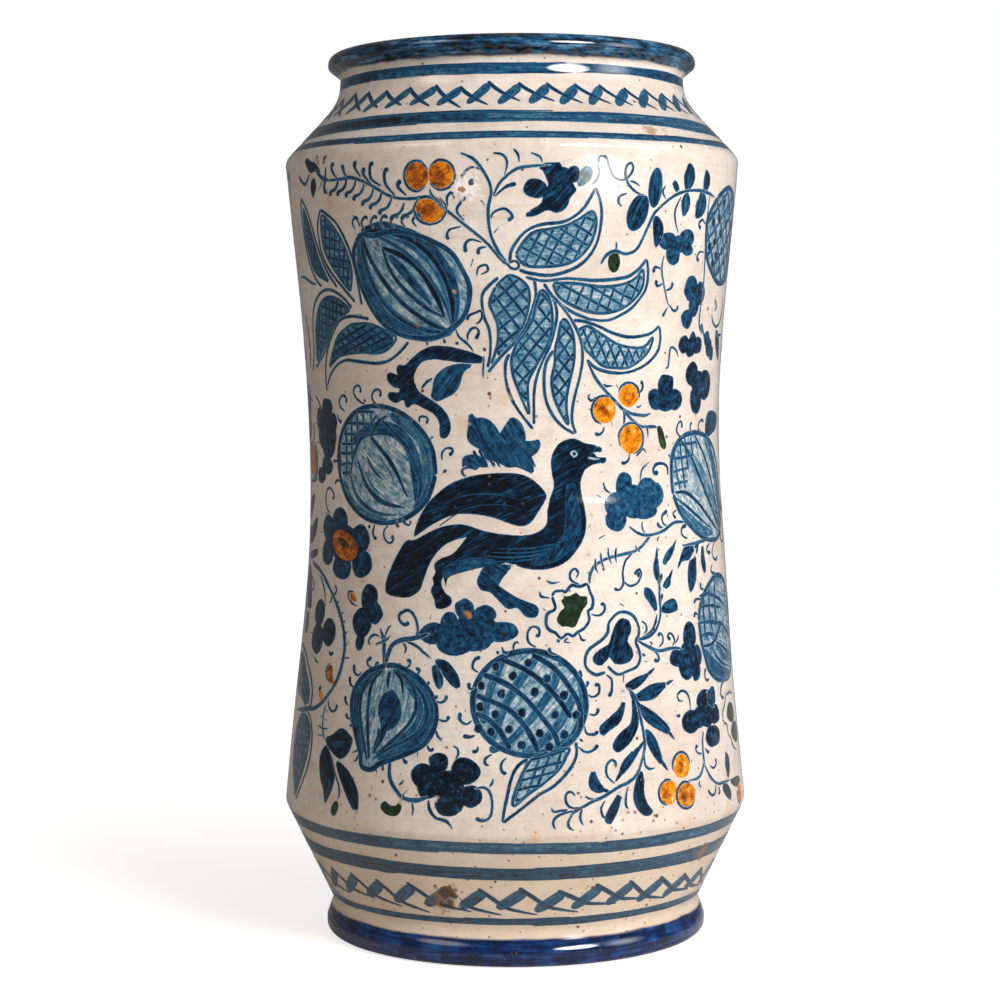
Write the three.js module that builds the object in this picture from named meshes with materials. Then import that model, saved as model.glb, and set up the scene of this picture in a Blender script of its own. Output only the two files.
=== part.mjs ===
// An albarello: a tin-glazed earthenware drug jar, thrown on the wheel in one piece.
// Millimetres, +Z up. The origin is on the axis, in the plane that the foot ring stands on.

import * as THREE from 'three';

// Overall height, from the table to the top of the lip
const jarHeight = 300;

// Outside radii of the wall where it turns, from the foot up
const ankleRadius = 63.2;
const hipRadius = 79.6;
const waistRadius = 70.5;
const shoulderRadius = 77.6;
const neckRadius = 58.6;

// Heights of the turns above the table, and depths of the upper ones below the top
const ankleHeight = 11.5;
const hipHeight = 45.5;
const waistHeight = 167;
const shoulderDepth = 36;
const neckDepth = 15.5;

// The concave side leans inward as it leaves each sharp edge, in mm of radius for each mm of height
const sideLean = 0.09;

// Turned foot: a low flared collar, cut hollow underneath so that only a ring stands on the table
const footFlare = 2.4;
const footBand = 4.8;
const footRingWidth = 12;
const footRecess = 3;
const recessSlope = 2.5;

// Everted lip, for the cord that ties a cover down
const lipOverhang = 4.2;
const lipThickness = 9;
const lipNose = 4.4;

// Thickness of the thrown wall and of the floor
const wallThickness = 5.4;
const floorThickness = 8;

// Rounds where the sponge and the turning tool softened the clay
const footRound = 2.8;
const footBandRound = 2;
const ankleRound = 4;
const hipRound = 4.5;
const shoulderRound = 4.5;
const neckRound = 12;
const lipTuckRound = 3;
const lipNoseRound = 1.4;
const lipTopRound = 3.2;
const mouthRound = 1.8;
const innerNeckRound = 9;
const innerEdgeRound = 7;
const floorRound = 9;

// Finger ridges left inside by throwing
const ridgePitch = 20;
const ridgeDepth = 0.6;
const stepsPerRidge = 3;

// Facets
const turnSteps = 64;
const smallRoundSteps = 2;
const largeRoundSteps = 2;
const sideSteps = 4;

const point = (radius, height) => new THREE.Vector2(radius, height);

// The round that replaces the corner of two straight runs, as points from one run to the other
function roundedCorner(before, corner, after, radius, steps) {
  const back = before.clone().sub(corner).normalize();
  const onward = after.clone().sub(corner).normalize();
  const halfAngle = Math.acos(back.dot(onward)) / 2;
  const reach = radius / Math.tan(halfAngle);
  const centre = back.clone().add(onward).setLength(radius / Math.sin(halfAngle)).add(corner);
  const start = back.multiplyScalar(reach).add(corner).sub(centre);
  const end = onward.multiplyScalar(reach).add(corner).sub(centre);
  const clockwise = start.cross(end) < 0;
  const arc = new THREE.EllipseCurve(
    centre.x, centre.y, radius, radius, start.angle(), end.angle(), clockwise
  );
  return arc.getPoints(steps);
}

// The corner that two runs meet at once both are moved inward by the wall thickness.
// The runs go upward on the outside of the jar, so inward is to their left.
function insetCorner(before, corner, after, inset) {
  const incoming = corner.clone().sub(before).normalize();
  const outgoing = after.clone().sub(corner).normalize();
  const inward = point(-incoming.y - outgoing.y, incoming.x + outgoing.x).normalize();
  const spread = inward.x * -incoming.y + inward.y * incoming.x;
  return inward.multiplyScalar(inset / spread).add(corner);
}

// Corners of the outside wall
const footRadius = ankleRadius + footFlare;
const lipRadius = neckRadius + lipOverhang;
const mouthRadius = neckRadius - wallThickness;
const shoulderHeight = jarHeight - shoulderDepth;
const footEdge = point(footRadius, 0);
const footBandTop = point(footRadius, footBand);
const ankle = point(ankleRadius, ankleHeight);
const hip = point(hipRadius, hipHeight);
const waist = point(waistRadius, waistHeight);
const shoulder = point(shoulderRadius, shoulderHeight);
const neck = point(neckRadius, jarHeight - neckDepth);
const lipTuck = point(neckRadius, jarHeight - lipThickness);
const lipNoseEdge = point(lipRadius, jarHeight - lipNose);
const lipTopEdge = point(lipRadius, jarHeight);
const mouthEdge = point(mouthRadius, jarHeight);

// Directions in which the side leaves the hip and reaches the shoulder
const aboveHip = point(hipRadius - sideLean, hipHeight + 1);
const belowShoulder = point(shoulderRadius - sideLean, shoulderHeight - 1);

// Outside, from the middle of the recess under the foot to the mouth
function outerProfile() {
  const ringInnerRadius = footRadius - footRingWidth;
  const hipCurve = roundedCorner(ankle, hip, aboveHip, hipRound, largeRoundSteps);
  const shoulderCurve = roundedCorner(belowShoulder, shoulder, neck, shoulderRound, largeRoundSteps);
  return [
    point(0, footRecess),
    point(ringInnerRadius - recessSlope, footRecess),
    point(ringInnerRadius, 0),
    ...roundedCorner(point(0, 0), footEdge, footBandTop, footRound, smallRoundSteps),
    ...roundedCorner(footEdge, footBandTop, ankle, footBandRound, smallRoundSteps),
    ...roundedCorner(footBandTop, ankle, hip, ankleRound, largeRoundSteps),
    ...hipCurve,
    ...sideCurve(hipCurve.at(-1), shoulderCurve[0]),
    ...shoulderCurve,
    ...roundedCorner(shoulder, neck, lipTuck, neckRound, largeRoundSteps),
    ...roundedCorner(neck, lipTuck, lipNoseEdge, lipTuckRound, smallRoundSteps),
    ...roundedCorner(lipTuck, lipNoseEdge, lipTopEdge, lipNoseRound, smallRoundSteps),
    ...roundedCorner(lipNoseEdge, lipTopEdge, mouthEdge, lipTopRound, largeRoundSteps),
  ];
}

// The concave side between two points, as two cubic curves that meet upright at the waist
function sideCurves(low, high) {
  const lowReach = (waistHeight - low.y) / 3;
  const highReach = (high.y - waistHeight) / 3;
  return [
    new THREE.CubicBezierCurve(
      low,
      point(low.x - sideLean * lowReach, low.y + lowReach),
      point(waistRadius, waistHeight - lowReach),
      waist
    ),
    new THREE.CubicBezierCurve(
      waist,
      point(waistRadius, waistHeight + highReach),
      point(high.x - sideLean * highReach, high.y - highReach),
      high
    ),
  ];
}

// Points along the side, without its two ends
function sideCurve(low, high) {
  const [lower, upper] = sideCurves(low, high);
  return [...lower.getPoints(sideSteps), ...upper.getPoints(sideSteps).slice(1)].slice(1, -1);
}

// The same side seen from inside, moved in by the wall, with the finger ridges standing on it
function ridgedSide(low, high) {
  const curves = new THREE.CurvePath();
  sideCurves(hip, shoulder).forEach((curve) => curves.add(curve));
  const length = curves.getLength();
  const margin = innerEdgeRound;
  const ridgeCount = Math.max(1, Math.round((length - 2 * margin) / ridgePitch));
  const steps = ridgeCount * stepsPerRidge;
  const points = [];
  for (let step = 0; step <= steps; step++) {
    const along = (margin + ((length - 2 * margin) * step) / steps) / length;
    const onSide = curves.getPointAt(along);
    const tangent = curves.getTangentAt(along);
    const ridge = (ridgeDepth / 2) * (1 - Math.cos((2 * Math.PI * step) / stepsPerRidge));
    const inward = point(-tangent.y, tangent.x).multiplyScalar(wallThickness + ridge);
    points.push(onSide.add(inward));
  }
  return points.filter((p) => p.y > low.y && p.y < high.y);
}

// Inside, from the mouth down to the middle of the floor
function innerProfile() {
  const innerNeck = point(mouthRadius, insetCorner(shoulder, neck, lipTuck, wallThickness).y);
  const innerShoulder = insetCorner(belowShoulder, shoulder, neck, wallThickness);
  const innerHip = insetCorner(ankle, hip, aboveHip, wallThickness);
  const innerAnkle = insetCorner(point(2 * ankle.x - hip.x, 2 * ankle.y - hip.y), ankle, hip, wallThickness);
  const floorHeight = footRecess + floorThickness;
  const slope = (innerHip.x - innerAnkle.x) / (innerHip.y - innerAnkle.y);
  const floorEdge = point(innerAnkle.x + slope * (floorHeight - innerAnkle.y), floorHeight);
  const floorCentre = point(0, floorHeight);
  const belowInner = point(innerShoulder.x - sideLean, innerShoulder.y - 1);
  const aboveInner = point(innerHip.x - sideLean, innerHip.y + 1);
  const shoulderCurve = roundedCorner(innerNeck, innerShoulder, belowInner, innerEdgeRound, largeRoundSteps);
  const hipCurve = roundedCorner(aboveInner, innerHip, floorEdge, innerEdgeRound, largeRoundSteps);
  return [
    ...roundedCorner(lipTopEdge, mouthEdge, innerNeck, mouthRound, smallRoundSteps),
    ...roundedCorner(mouthEdge, innerNeck, innerShoulder, innerNeckRound, smallRoundSteps),
    ...shoulderCurve,
    ...ridgedSide(hipCurve[0], shoulderCurve.at(-1)).reverse(),
    ...hipCurve,
    ...roundedCorner(innerHip, floorEdge, floorCentre, floorRound, largeRoundSteps),
    floorCentre,
  ];
}

const tinGlaze = new THREE.MeshStandardMaterial({ color: 0xeadcd0, roughness: 0.18, metalness: 0 });

const jarGeometry = new THREE.LatheGeometry([...outerProfile(), ...innerProfile()], turnSteps);
jarGeometry.rotateX(Math.PI / 2);

const jar = new THREE.Mesh(jarGeometry, tinGlaze);
jar.name = 'jar';

const albarello = new THREE.Group();
albarello.name = 'albarello';
albarello.add(jar);

export default albarello;
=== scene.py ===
import math
import random
from functools import partial

import bpy
from mathutils import Matrix, Vector
from mathutils.geometry import delaunay_2d_cdt


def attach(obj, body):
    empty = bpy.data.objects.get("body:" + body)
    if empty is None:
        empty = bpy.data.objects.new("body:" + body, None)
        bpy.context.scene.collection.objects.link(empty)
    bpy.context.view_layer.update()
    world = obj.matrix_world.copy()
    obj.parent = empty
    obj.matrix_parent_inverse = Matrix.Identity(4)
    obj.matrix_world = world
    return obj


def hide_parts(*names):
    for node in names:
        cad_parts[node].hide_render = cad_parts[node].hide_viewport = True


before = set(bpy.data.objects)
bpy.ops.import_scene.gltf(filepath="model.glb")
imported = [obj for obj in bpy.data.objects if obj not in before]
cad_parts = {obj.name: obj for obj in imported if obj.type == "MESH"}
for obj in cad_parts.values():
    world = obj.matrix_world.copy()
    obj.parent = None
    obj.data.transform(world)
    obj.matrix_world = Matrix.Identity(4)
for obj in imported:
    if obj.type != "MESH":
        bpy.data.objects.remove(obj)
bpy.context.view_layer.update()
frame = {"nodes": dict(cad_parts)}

mm = 0.001
drawnRadius = 75.0
scene = bpy.context.scene
print("frame loaded:", ", ".join(frame["nodes"]))


def srgb(code):
    channels = [int(code[i:i + 2], 16) / 255 for i in (1, 3, 5)]
    linear = [c / 12.92 if c <= 0.04045 else ((c + 0.055) / 1.055) ** 2.4 for c in channels]
    return (*linear, 1.0)


kindStarts = {"SHADER": ["ShaderNode", "Node"], "GEOMETRY": ["GeometryNode", "FunctionNode", "ShaderNode", "Node"]}


# Adds a node with its settings. Its kind is written without the start that all kinds of a tree share. An input, by
# its place in a list or by name or number, takes a value, a socket or a node's first output in use.
def addNode(tree, kind, inputs=(), operation=None, **settings):
    made = tree.nodes.new(next(start + kind for start in kindStarts[tree.type] if hasattr(bpy.types, start + kind)))
    if operation:
        made.operation = operation
    for name, value in settings.items():
        setattr(made, name, value)
    for key, value in inputs.items() if isinstance(inputs, dict) else enumerate(inputs):
        if isinstance(value, bpy.types.Node):
            value = next(socket for socket in value.outputs if socket.enabled)
        if isinstance(value, bpy.types.NodeSocket):
            tree.links.new(value, made.inputs[key])
        else:
            made.inputs[key].default_value = value
    return made


# Sockets by label: a number is the value that one starts at, and a word its type where it starts empty
def newGroup(name, kind, inputs, outputs):
    tree = bpy.data.node_groups.new(name, kind + "NodeTree")
    for sockets, way in ((inputs, "INPUT"), (outputs, "OUTPUT")):
        for label, value in sockets.items():
            empty = isinstance(value, str)
            word = value if empty else "Int" if isinstance(value, int) else "Float"
            socket = tree.interface.new_socket(label, in_out=way, socket_type="NodeSocket" + word)
            if not empty:
                socket.default_value = value
    return tree, partial(addNode, tree), tree.nodes.new("NodeGroupInput")


# The nodes of a material, a lamp or the world, started afresh
def freshNodes(owner):
    owner.use_nodes = True
    owner.node_tree.nodes.clear()
    return partial(addNode, owner.node_tree)


# Colours along a ramp, as (position, colour)
def colourRamp(ramp, stops):
    elements = ramp.color_ramp.elements
    elements[0].color, elements[1].color = srgb(stops[0][1]), srgb(stops[-1][1])
    for position, code in stops[1:-1]:
        elements.new(position).color = srgb(code)
    return ramp


# Runs a Geometry Nodes tree on a raw mesh and keeps the result as a plain mesh
def growPiece(name, mesh, tree, values):
    raw = bpy.data.objects.new(name + "Raw", mesh)
    scene.collection.objects.link(raw)
    modifier = raw.modifiers.new("grow", "NODES")
    modifier.node_group = tree
    for item in tree.interface.items_tree:
        if item.item_type == "SOCKET" and item.in_out == "INPUT" and item.name in values:
            modifier[item.identifier] = values[item.name]
    graph = bpy.context.evaluated_depsgraph_get()
    made = bpy.data.meshes.new_from_object(raw.evaluated_get(graph), depsgraph=graph)
    made.name = name
    bpy.data.objects.remove(raw)
    piece = bpy.data.objects.new(name, made)
    scene.collection.objects.link(piece)
    print(f"{name}: {len(made.vertices)} points, {len(made.polygons)} faces")
    return piece


# The camera stands where the photograph was taken from
view = {
    "lens": 88.2,
    "place": (-0.0005, -0.84625, 0.19253),
    "down": 3.015,
    "pan": -0.285,
    "roll": -0.305,
}


def addCamera():
    down, pan, roll = (math.radians(view[k]) for k in ("down", "pan", "roll"))
    ahead = Vector((math.sin(pan) * math.cos(down), math.cos(pan) * math.cos(down), -math.sin(down)))
    level = Vector((math.cos(pan), -math.sin(pan), 0))
    upright = level.cross(ahead)
    right = math.cos(roll) * level + math.sin(roll) * upright
    up = -math.sin(roll) * level + math.cos(roll) * upright
    data = bpy.data.cameras.new("camera")
    data.lens = view["lens"]
    data.sensor_width = 36
    data.sensor_fit = "HORIZONTAL"
    data.clip_start = 0.05
    camera = bpy.data.objects.new("camera", data)
    turn = Matrix((right, up, -ahead)).transposed().to_4x4()
    camera.matrix_world = Matrix.Translation(view["place"]) @ turn
    scene.collection.objects.link(camera)
    scene.camera = camera


addCamera()

# The jar's section in mm: the solid's sizes, with a softer round in the neck, a little lower under the lip
jarShape = {
    "height": 300,
    "ankle": (63.2, 11.5), "hip": (79.6, 45.5), "waist": (70.5, 167),
    "shoulder": (77.6, 264), "neck": (58.6, 284.5), "sideLean": 0.09,
    "footRadius": 65.6, "footBand": 4.8, "ringInside": 53.6, "recess": 3, "recessSlope": 2.5,
    "lipRadius": 62.8, "lipUnder": 292.3, "lipNose": 295.6,
    "wall": 5.4, "floor": 8,
    "rounds": {
        "foot": 2.8, "footBand": 2, "ankle": 4, "hip": 4.5, "shoulder": 4.5, "neck": 17,
        "lipTuck": 2, "lipNose": 1.4, "lipTop": 3.2, "mouth": 1.8,
        "innerNeck": 9, "innerEdge": 7, "floor": 9,
    },
    "ridgePitch": 20, "ridgeDepth": 0.6,
    "roundSteps": 7, "sideStep": 2.4,
    "turnSteps": 256, "crease": 0.6, "seed": 4.0,
    "wobble": 0.25, "wobbleSize": 55,
}

# The wall has sagged sideways a little in the fire, most near this height
sagShape = {"most": 1.0, "height": 128.0, "spread": 35.0}


def roundCorner(before, corner, after, radius, steps=jarShape["roundSteps"]):
    before, corner, after = Vector(before), Vector(corner), Vector(after)
    back = (before - corner).normalized()
    onward = (after - corner).normalized()
    half = back.angle(onward) / 2
    centre = corner + (back + onward).normalized() * radius / math.sin(half)
    start = corner + back * radius / math.tan(half) - centre
    end = corner + onward * radius / math.tan(half) - centre
    swing = start.angle_signed(end)
    return [centre + Matrix.Rotation(-swing * i / steps, 2) @ start for i in range(steps + 1)]


def insetCorner(before, corner, after, inset):
    before, corner, after = Vector(before), Vector(corner), Vector(after)
    incoming = (corner - before).normalized()
    outgoing = (after - corner).normalized()
    inward = Vector((-incoming.y - outgoing.y, incoming.x + outgoing.x)).normalized()
    return corner + inward * inset / (inward.x * -incoming.y + inward.y * incoming.x)


def bezierPoint(a, b, c, d, t):
    return a * (1 - t) ** 3 + 3 * b * t * (1 - t) ** 2 + 3 * c * t * t * (1 - t) + d * t ** 3


# The concave side: two curves that meet upright at the waist
def sidePoints(low, high, step):
    low, high, waist, lean = Vector(low), Vector(high), Vector(jarShape["waist"]), jarShape["sideLean"]
    points = []
    for start, end in ((low, waist), (waist, high)):
        reach = (end.y - start.y) / 3
        leaving = Vector((-lean * reach if start == low else 0, reach))
        arriving = Vector((lean * reach if end == high else 0, reach))
        steps = max(2, round((end.y - start.y) / step))
        points += [bezierPoint(start, start + leaving, end - arriving, end, i / steps) for i in range(steps)]
    return points[1:]


def jarSection():
    s = jarShape
    r = s["rounds"]
    lean = s["sideLean"]
    footEdge, footTop = (s["footRadius"], 0), (s["footRadius"], s["footBand"])
    ankle, hip, shoulder, neck = s["ankle"], s["hip"], s["shoulder"], s["neck"]
    aboveHip, underShoulder = (hip[0] - lean, hip[1] + 1), (shoulder[0] - lean, shoulder[1] - 1)
    lipTuck, lipNose = (neck[0], s["lipUnder"]), (s["lipRadius"], s["lipNose"])
    lipTop, mouth = (s["lipRadius"], s["height"]), (neck[0] - s["wall"], s["height"])
    hipRound = roundCorner(ankle, hip, aboveHip, r["hip"])
    shoulderRound = roundCorner(underShoulder, shoulder, neck, r["shoulder"])
    outside = [
        Vector((0, s["recess"])),
        Vector((s["ringInside"] - s["recessSlope"], s["recess"])),
        Vector((s["ringInside"], 0)),
        *roundCorner((0, 0), footEdge, footTop, r["foot"]),
        *roundCorner(footEdge, footTop, ankle, r["footBand"]),
        *roundCorner(footTop, ankle, hip, r["ankle"]),
        *[Vector(ankle).lerp(Vector(hip), i / 10) for i in range(2, 9)],
        *hipRound,
        *sidePoints(hipRound[-1], shoulderRound[0], s["sideStep"]),
        *shoulderRound,
        *[Vector(shoulder).lerp(Vector(neck), i / 8) for i in range(2, 6)],
        *roundCorner(shoulder, neck, lipTuck, r["neck"]),
        *roundCorner(neck, lipTuck, lipNose, r["lipTuck"]),
        *roundCorner(lipTuck, lipNose, lipTop, r["lipNose"]),
        *roundCorner(lipNose, lipTop, mouth, r["lipTop"]),
    ]
    wall = s["wall"]
    innerNeck = (mouth[0], insetCorner(shoulder, neck, lipTuck, wall).y)
    innerShoulder = insetCorner(underShoulder, shoulder, neck, wall)
    innerHip = insetCorner(ankle, hip, aboveHip, wall)
    belowAnkle = (2 * ankle[0] - hip[0], 2 * ankle[1] - hip[1])
    innerAnkle = insetCorner(belowAnkle, ankle, hip, wall)
    floorHeight = s["recess"] + s["floor"]
    slope = (innerHip.x - innerAnkle.x) / (innerHip.y - innerAnkle.y)
    floorEdge = (innerAnkle.x + slope * (floorHeight - innerAnkle.y), floorHeight)
    upper = roundCorner(innerNeck, innerShoulder, innerShoulder - Vector((lean, 1)), r["innerEdge"])
    lower = roundCorner(innerHip + Vector((-lean, 1)), innerHip, floorEdge, r["innerEdge"])
    ridged = []
    for point in sidePoints(hip, shoulder, s["sideStep"]):
        phase = 2 * math.pi * (point.y - lower[0].y) / s["ridgePitch"]
        inset = wall + s["ridgeDepth"] / 2 * (1 - math.cos(phase))
        if lower[0].y + 2 < point.y < upper[-1].y - 2:
            ridged.append(point - Vector((inset, 0)))
    inside = [
        *roundCorner(lipTop, mouth, innerNeck, r["mouth"]),
        *roundCorner(mouth, innerNeck, innerShoulder, r["innerNeck"]),
        *upper,
        *reversed(ridged),
        *lower,
        *roundCorner(innerHip, floorEdge, (0, floorHeight), r["floor"]),
        Vector((0, floorHeight)),
    ]
    return outside + inside


# Group: sideways sag in mm at a height in mm
def sagGroup():
    tree, add, given = newGroup("sagOfWall", "Geometry", {"Height": 0.0, "Most": sagShape["most"],
        "Sag Height": sagShape["height"], "Spread": sagShape["spread"]}, {"Sag": "Float"})
    off = add("Math", [given.outputs[0], given.outputs[2]], "SUBTRACT")
    steps = add("Math", [off, given.outputs[3]], "DIVIDE")
    square = add("Math", [steps, steps], "MULTIPLY")
    fade = add("Math", [math.e, add("Math", [square, -1.0], "MULTIPLY")], "POWER")
    sag = add("Math", [fade, given.outputs[1]], "MULTIPLY")
    add("GroupOutput", [sag])
    return tree


# Tree: turns the section round the wheel's axis. The grid's columns go round, its rows follow the section.
def turningTree(sagTree):
    tree, add, given = newGroup("turnOnWheel", "Geometry", {"Section": "Geometry", "Turn Steps": 64, "Wobble": 0.0,
        "Wobble Size": 50.0, "Seed": 0.0, "Glaze": "Material"}, {"Geometry": "Geometry"})
    section, steps, wobble, wobbleSize, seed, glaze = given.outputs[:6]
    count = add("AttributeDomainSize", [section], component="MESH")
    columns = add("Math", [steps, 1.0], "ADD")
    grid = add("MeshGrid", {"Size X": 1.0, "Size Y": 1.0, "Vertices X": columns, "Vertices Y": count})
    uv = add("SeparateXYZ", [grid.outputs["UV Map"]])
    lastRow = add("Math", [count, 1.0], "SUBTRACT")
    row = add("Math", [uv.outputs[1], lastRow], "MULTIPLY")
    row = add("Math", [row], "ROUND")
    onSection = add("SampleIndex", {"Geometry": section, "Value": add("InputPosition"), "Index": row},
        data_type="FLOAT_VECTOR")
    along = add("SampleIndex", {"Geometry": section, "Index": row, "Value": add("InputNamedAttribute", ["along"])})
    at = add("SeparateXYZ", [onSection])
    turn = add("Math", [uv.outputs[0], 0.5], "SUBTRACT")
    turn = add("Math", [turn, 2 * math.pi], "MULTIPLY")
    across = add("Math", [turn], "SINE")
    away = add("Math", [turn], "COSINE")
    away = add("Math", [away, -1.0], "MULTIPLY")
    ring = add("CombineXYZ", [across, away, 0.0])
    ringed = add("VectorMath", {0: ring, "Scale": at.outputs[0]}, "SCALE")
    lifted = add("CombineXYZ", {2: at.outputs[2]})
    placed = add("VectorMath", [ringed, lifted], "ADD")
    perSize = add("Math", [1.0, wobbleSize], "DIVIDE")
    noise = add("TexNoise", {"Vector": placed, "W": seed, "Scale": perSize, "Detail": 1.0}, noise_dimensions="4D")
    inward = add("Math", [noise, wobble], "MULTIPLY")
    inward = add("Math", [inward, -1.0], "MULTIPLY")
    touched = add("Math", [at.outputs[0], 1.0], "GREATER_THAN")
    inward = add("Math", [inward, touched], "MULTIPLY")
    shrink = add("VectorMath", {0: ring, "Scale": inward}, "SCALE")
    sag = add("Group", [at.outputs[2]], node_tree=sagTree)
    aside = add("CombineXYZ", [sag])
    placed = add("VectorMath", [placed, shrink], "ADD")
    placed = add("VectorMath", [placed, aside], "ADD")
    metres = add("VectorMath", {0: placed, "Scale": mm}, "SCALE")
    unrolled = add("CombineXYZ", [uv.outputs[0], along])
    mapped = add("StoreNamedAttribute", {"Geometry": grid, "Name": "OFBake", "Value": unrolled}, data_type="FLOAT2",
        domain="CORNER")
    moved = add("SetPosition", {"Geometry": mapped, "Position": metres})
    closed = add("MergeByDistance", {"Geometry": moved, "Distance": 0.01 * mm})
    smooth = add("SetShadeSmooth", {"Geometry": closed, "Shade Smooth": True}, domain="FACE")
    bend = add("InputMeshEdgeAngle")
    sharp = add("Math", [bend, jarShape["crease"]], "GREATER_THAN")
    creased = add("SetShadeSmooth", {"Geometry": smooth, "Selection": sharp, "Shade Smooth": False}, domain="EDGE")
    whole = add("RealizeInstances", [creased])
    dressed = add("SetMaterial", {"Geometry": whole, "Material": glaze})
    add("GroupOutput", [dressed])
    return tree


# Group: lays a flat drawing in mm, x along the girth and y up, on the jar's outer wall. Rays find the wall from
# outside, 120 mm from the axis.
def wrapGroup(sagTree, rayStart=120.0):
    tree, add, given = newGroup("layOnWall", "Geometry", {"Drawing": "Geometry", "Jar": "Object",
        "Drawing Radius": drawnRadius}, {"Geometry": "Geometry"})
    drawing, jar, radius = given.outputs[:3]
    at = add("SeparateXYZ", [add("InputPosition")])
    turn = add("Math", [at.outputs[0], radius], "DIVIDE")
    across = add("Math", [turn], "SINE")
    away = add("Math", [turn], "COSINE")
    away = add("Math", [away, -1.0], "MULTIPLY")
    outward = add("CombineXYZ", [across, away, 0.0])
    inward = add("VectorMath", {0: outward, "Scale": -1.0}, "SCALE")
    far = add("VectorMath", {0: outward, "Scale": rayStart}, "SCALE")
    sag = add("Group", [at.outputs[1]], node_tree=sagTree)
    level = add("CombineXYZ", {0: sag, 2: at.outputs[1]})
    start = add("VectorMath", [far, level], "ADD")
    start = add("VectorMath", {0: start, "Scale": mm}, "SCALE")
    wall = add("ObjectInfo", {"Object": jar}, transform_space="RELATIVE")
    hit = add("Raycast", {"Target Geometry": wall.outputs["Geometry"], "Attribute": add("InputNormal"),
        "Source Position": start, "Ray Direction": inward, "Ray Length": rayStart * mm}, data_type="FLOAT_VECTOR")
    facing = add("VectorMath", [hit.outputs["Attribute"]], "NORMALIZE")
    kept = add("StoreNamedAttribute", {"Geometry": drawing, "Name": "wallNormal", "Value": facing},
        data_type="FLOAT_VECTOR")
    spread = add("AttributeStatistic", {"Geometry": drawing, "Attribute": add("InputPosition")},
        data_type="FLOAT_VECTOR")
    flat = add("VectorMath", [add("InputPosition"), spread.outputs["Min"]], "SUBTRACT")
    flat = add("VectorMath", [flat, spread.outputs["Range"]], "DIVIDE")
    mapped = add("StoreNamedAttribute", {"Geometry": kept, "Name": "OFBake", "Value": flat}, data_type="FLOAT2",
        domain="CORNER")
    lift = add("InputNamedAttribute", ["lift"])
    lift = add("Math", [lift, mm], "MULTIPLY")
    proud = add("VectorMath", {0: facing, "Scale": lift}, "SCALE")
    place = add("VectorMath", [hit.outputs["Hit Position"], proud], "ADD")
    moved = add("SetPosition", {"Geometry": mapped, "Position": place})
    closed = add("MergeByDistance", {"Geometry": moved, "Distance": 0.003 * mm})
    smooth = add("SetShadeSmooth", {"Geometry": closed, "Shade Smooth": True}, domain="FACE")
    normal = add("InputNamedAttribute", ["wallNormal"], data_type="FLOAT_VECTOR")
    faced = add("SetMeshNormal", {"Mesh": smooth, "Custom Normal": normal}, mode="FREE")
    add("GroupOutput", [faced])
    return tree


# Group: brush strokes. A path of the drawing becomes a flat ribbon with round ends, as wide as its points say.
def ribbonGroup():
    tree, add, given = newGroup("brushRibbons", "Geometry", {"Paths": "Geometry", "Step": 0.55},
        {"Geometry": "Geometry"})
    line = add("MeshToCurve", {"Mesh": given.outputs[0]})
    line = add("CurveSplineType", {"Curve": line}, spline_type="CATMULL_ROM")
    line = add("ResampleCurve", {"Curve": line, "Length": given.outputs[1]}, mode="LENGTH")
    line = add("SetCurveNormal", {"Curve": line}, mode="Z_UP")
    along = add("SplineParameter")
    total = add("SplineLength")
    rest = add("Math", [total, along.outputs["Length"]], "SUBTRACT")
    nearEnd = add("Math", [rest, along.outputs["Length"]], "MINIMUM")
    width = add("InputNamedAttribute", ["width"])
    half = add("Math", [width, 0.5], "MULTIPLY")
    inEnd = add("Math", [half, nearEnd], "SUBTRACT")
    inEnd = add("Math", [inEnd, half], "DIVIDE", use_clamp=True)
    inEnd = add("Math", [inEnd, inEnd], "MULTIPLY")
    roundEnd = add("Math", [1.02, inEnd], "SUBTRACT")
    roundEnd = add("Math", [roundEnd], "SQRT")
    breadth = add("Math", [width, roundEnd], "MULTIPLY")
    line = add("StoreNamedAttribute", {"Geometry": line, "Name": "breadth", "Value": breadth})
    line = add("StoreNamedAttribute", {"Geometry": line, "Name": "run", "Value": along.outputs["Length"]})
    nib = add("MeshLine", {"Count": 4, "Start Location": (-0.5, 0, 0), "Offset": (1 / 3, 0, 0)})
    nibAt = add("SeparateXYZ", [add("InputPosition")])
    nib = add("StoreNamedAttribute", {"Geometry": nib, "Name": "side", "Value": nibAt})
    nib = add("MeshToCurve", {"Mesh": nib})
    made = add("InputNamedAttribute", ["breadth"])
    ribbon = add("CurveToMesh", {"Curve": line, "Profile Curve": nib, "Scale": made})
    side = add("InputNamedAttribute", ["side"])
    offCentre = add("Math", [side, made], "MULTIPLY")
    middle = add("Math", [made, 0.5], "MULTIPLY")
    fromMiddle = add("Math", [offCentre], "ABSOLUTE")
    edge = add("Math", [middle, fromMiddle], "SUBTRACT")
    ribbon = add("StoreNamedAttribute", {"Geometry": ribbon, "Name": "edge", "Value": edge})
    run = add("InputNamedAttribute", ["run"])
    seed = add("InputNamedAttribute", ["seed"])
    drawnOut = add("Math", [run, 0.12], "MULTIPLY")
    flow = add("CombineXYZ", [offCentre, drawnOut, seed])
    ribbon = add("StoreNamedAttribute", {"Geometry": ribbon, "Name": "flow", "Value": flow}, data_type="FLOAT_VECTOR")
    add("GroupOutput", [ribbon])
    return tree


# The end of each painting tree: the flat drawing is laid on the wall and takes its pigment
def layPigment(tree, add, given, wrap, flat):
    laid = add("Group", [flat, given.outputs["Jar"]], node_tree=wrap)
    whole = add("RealizeInstances", [laid])
    add("GroupOutput", [add("SetMaterial", {"Geometry": whole, "Material": given.outputs["Pigment"]})])
    return tree


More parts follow.
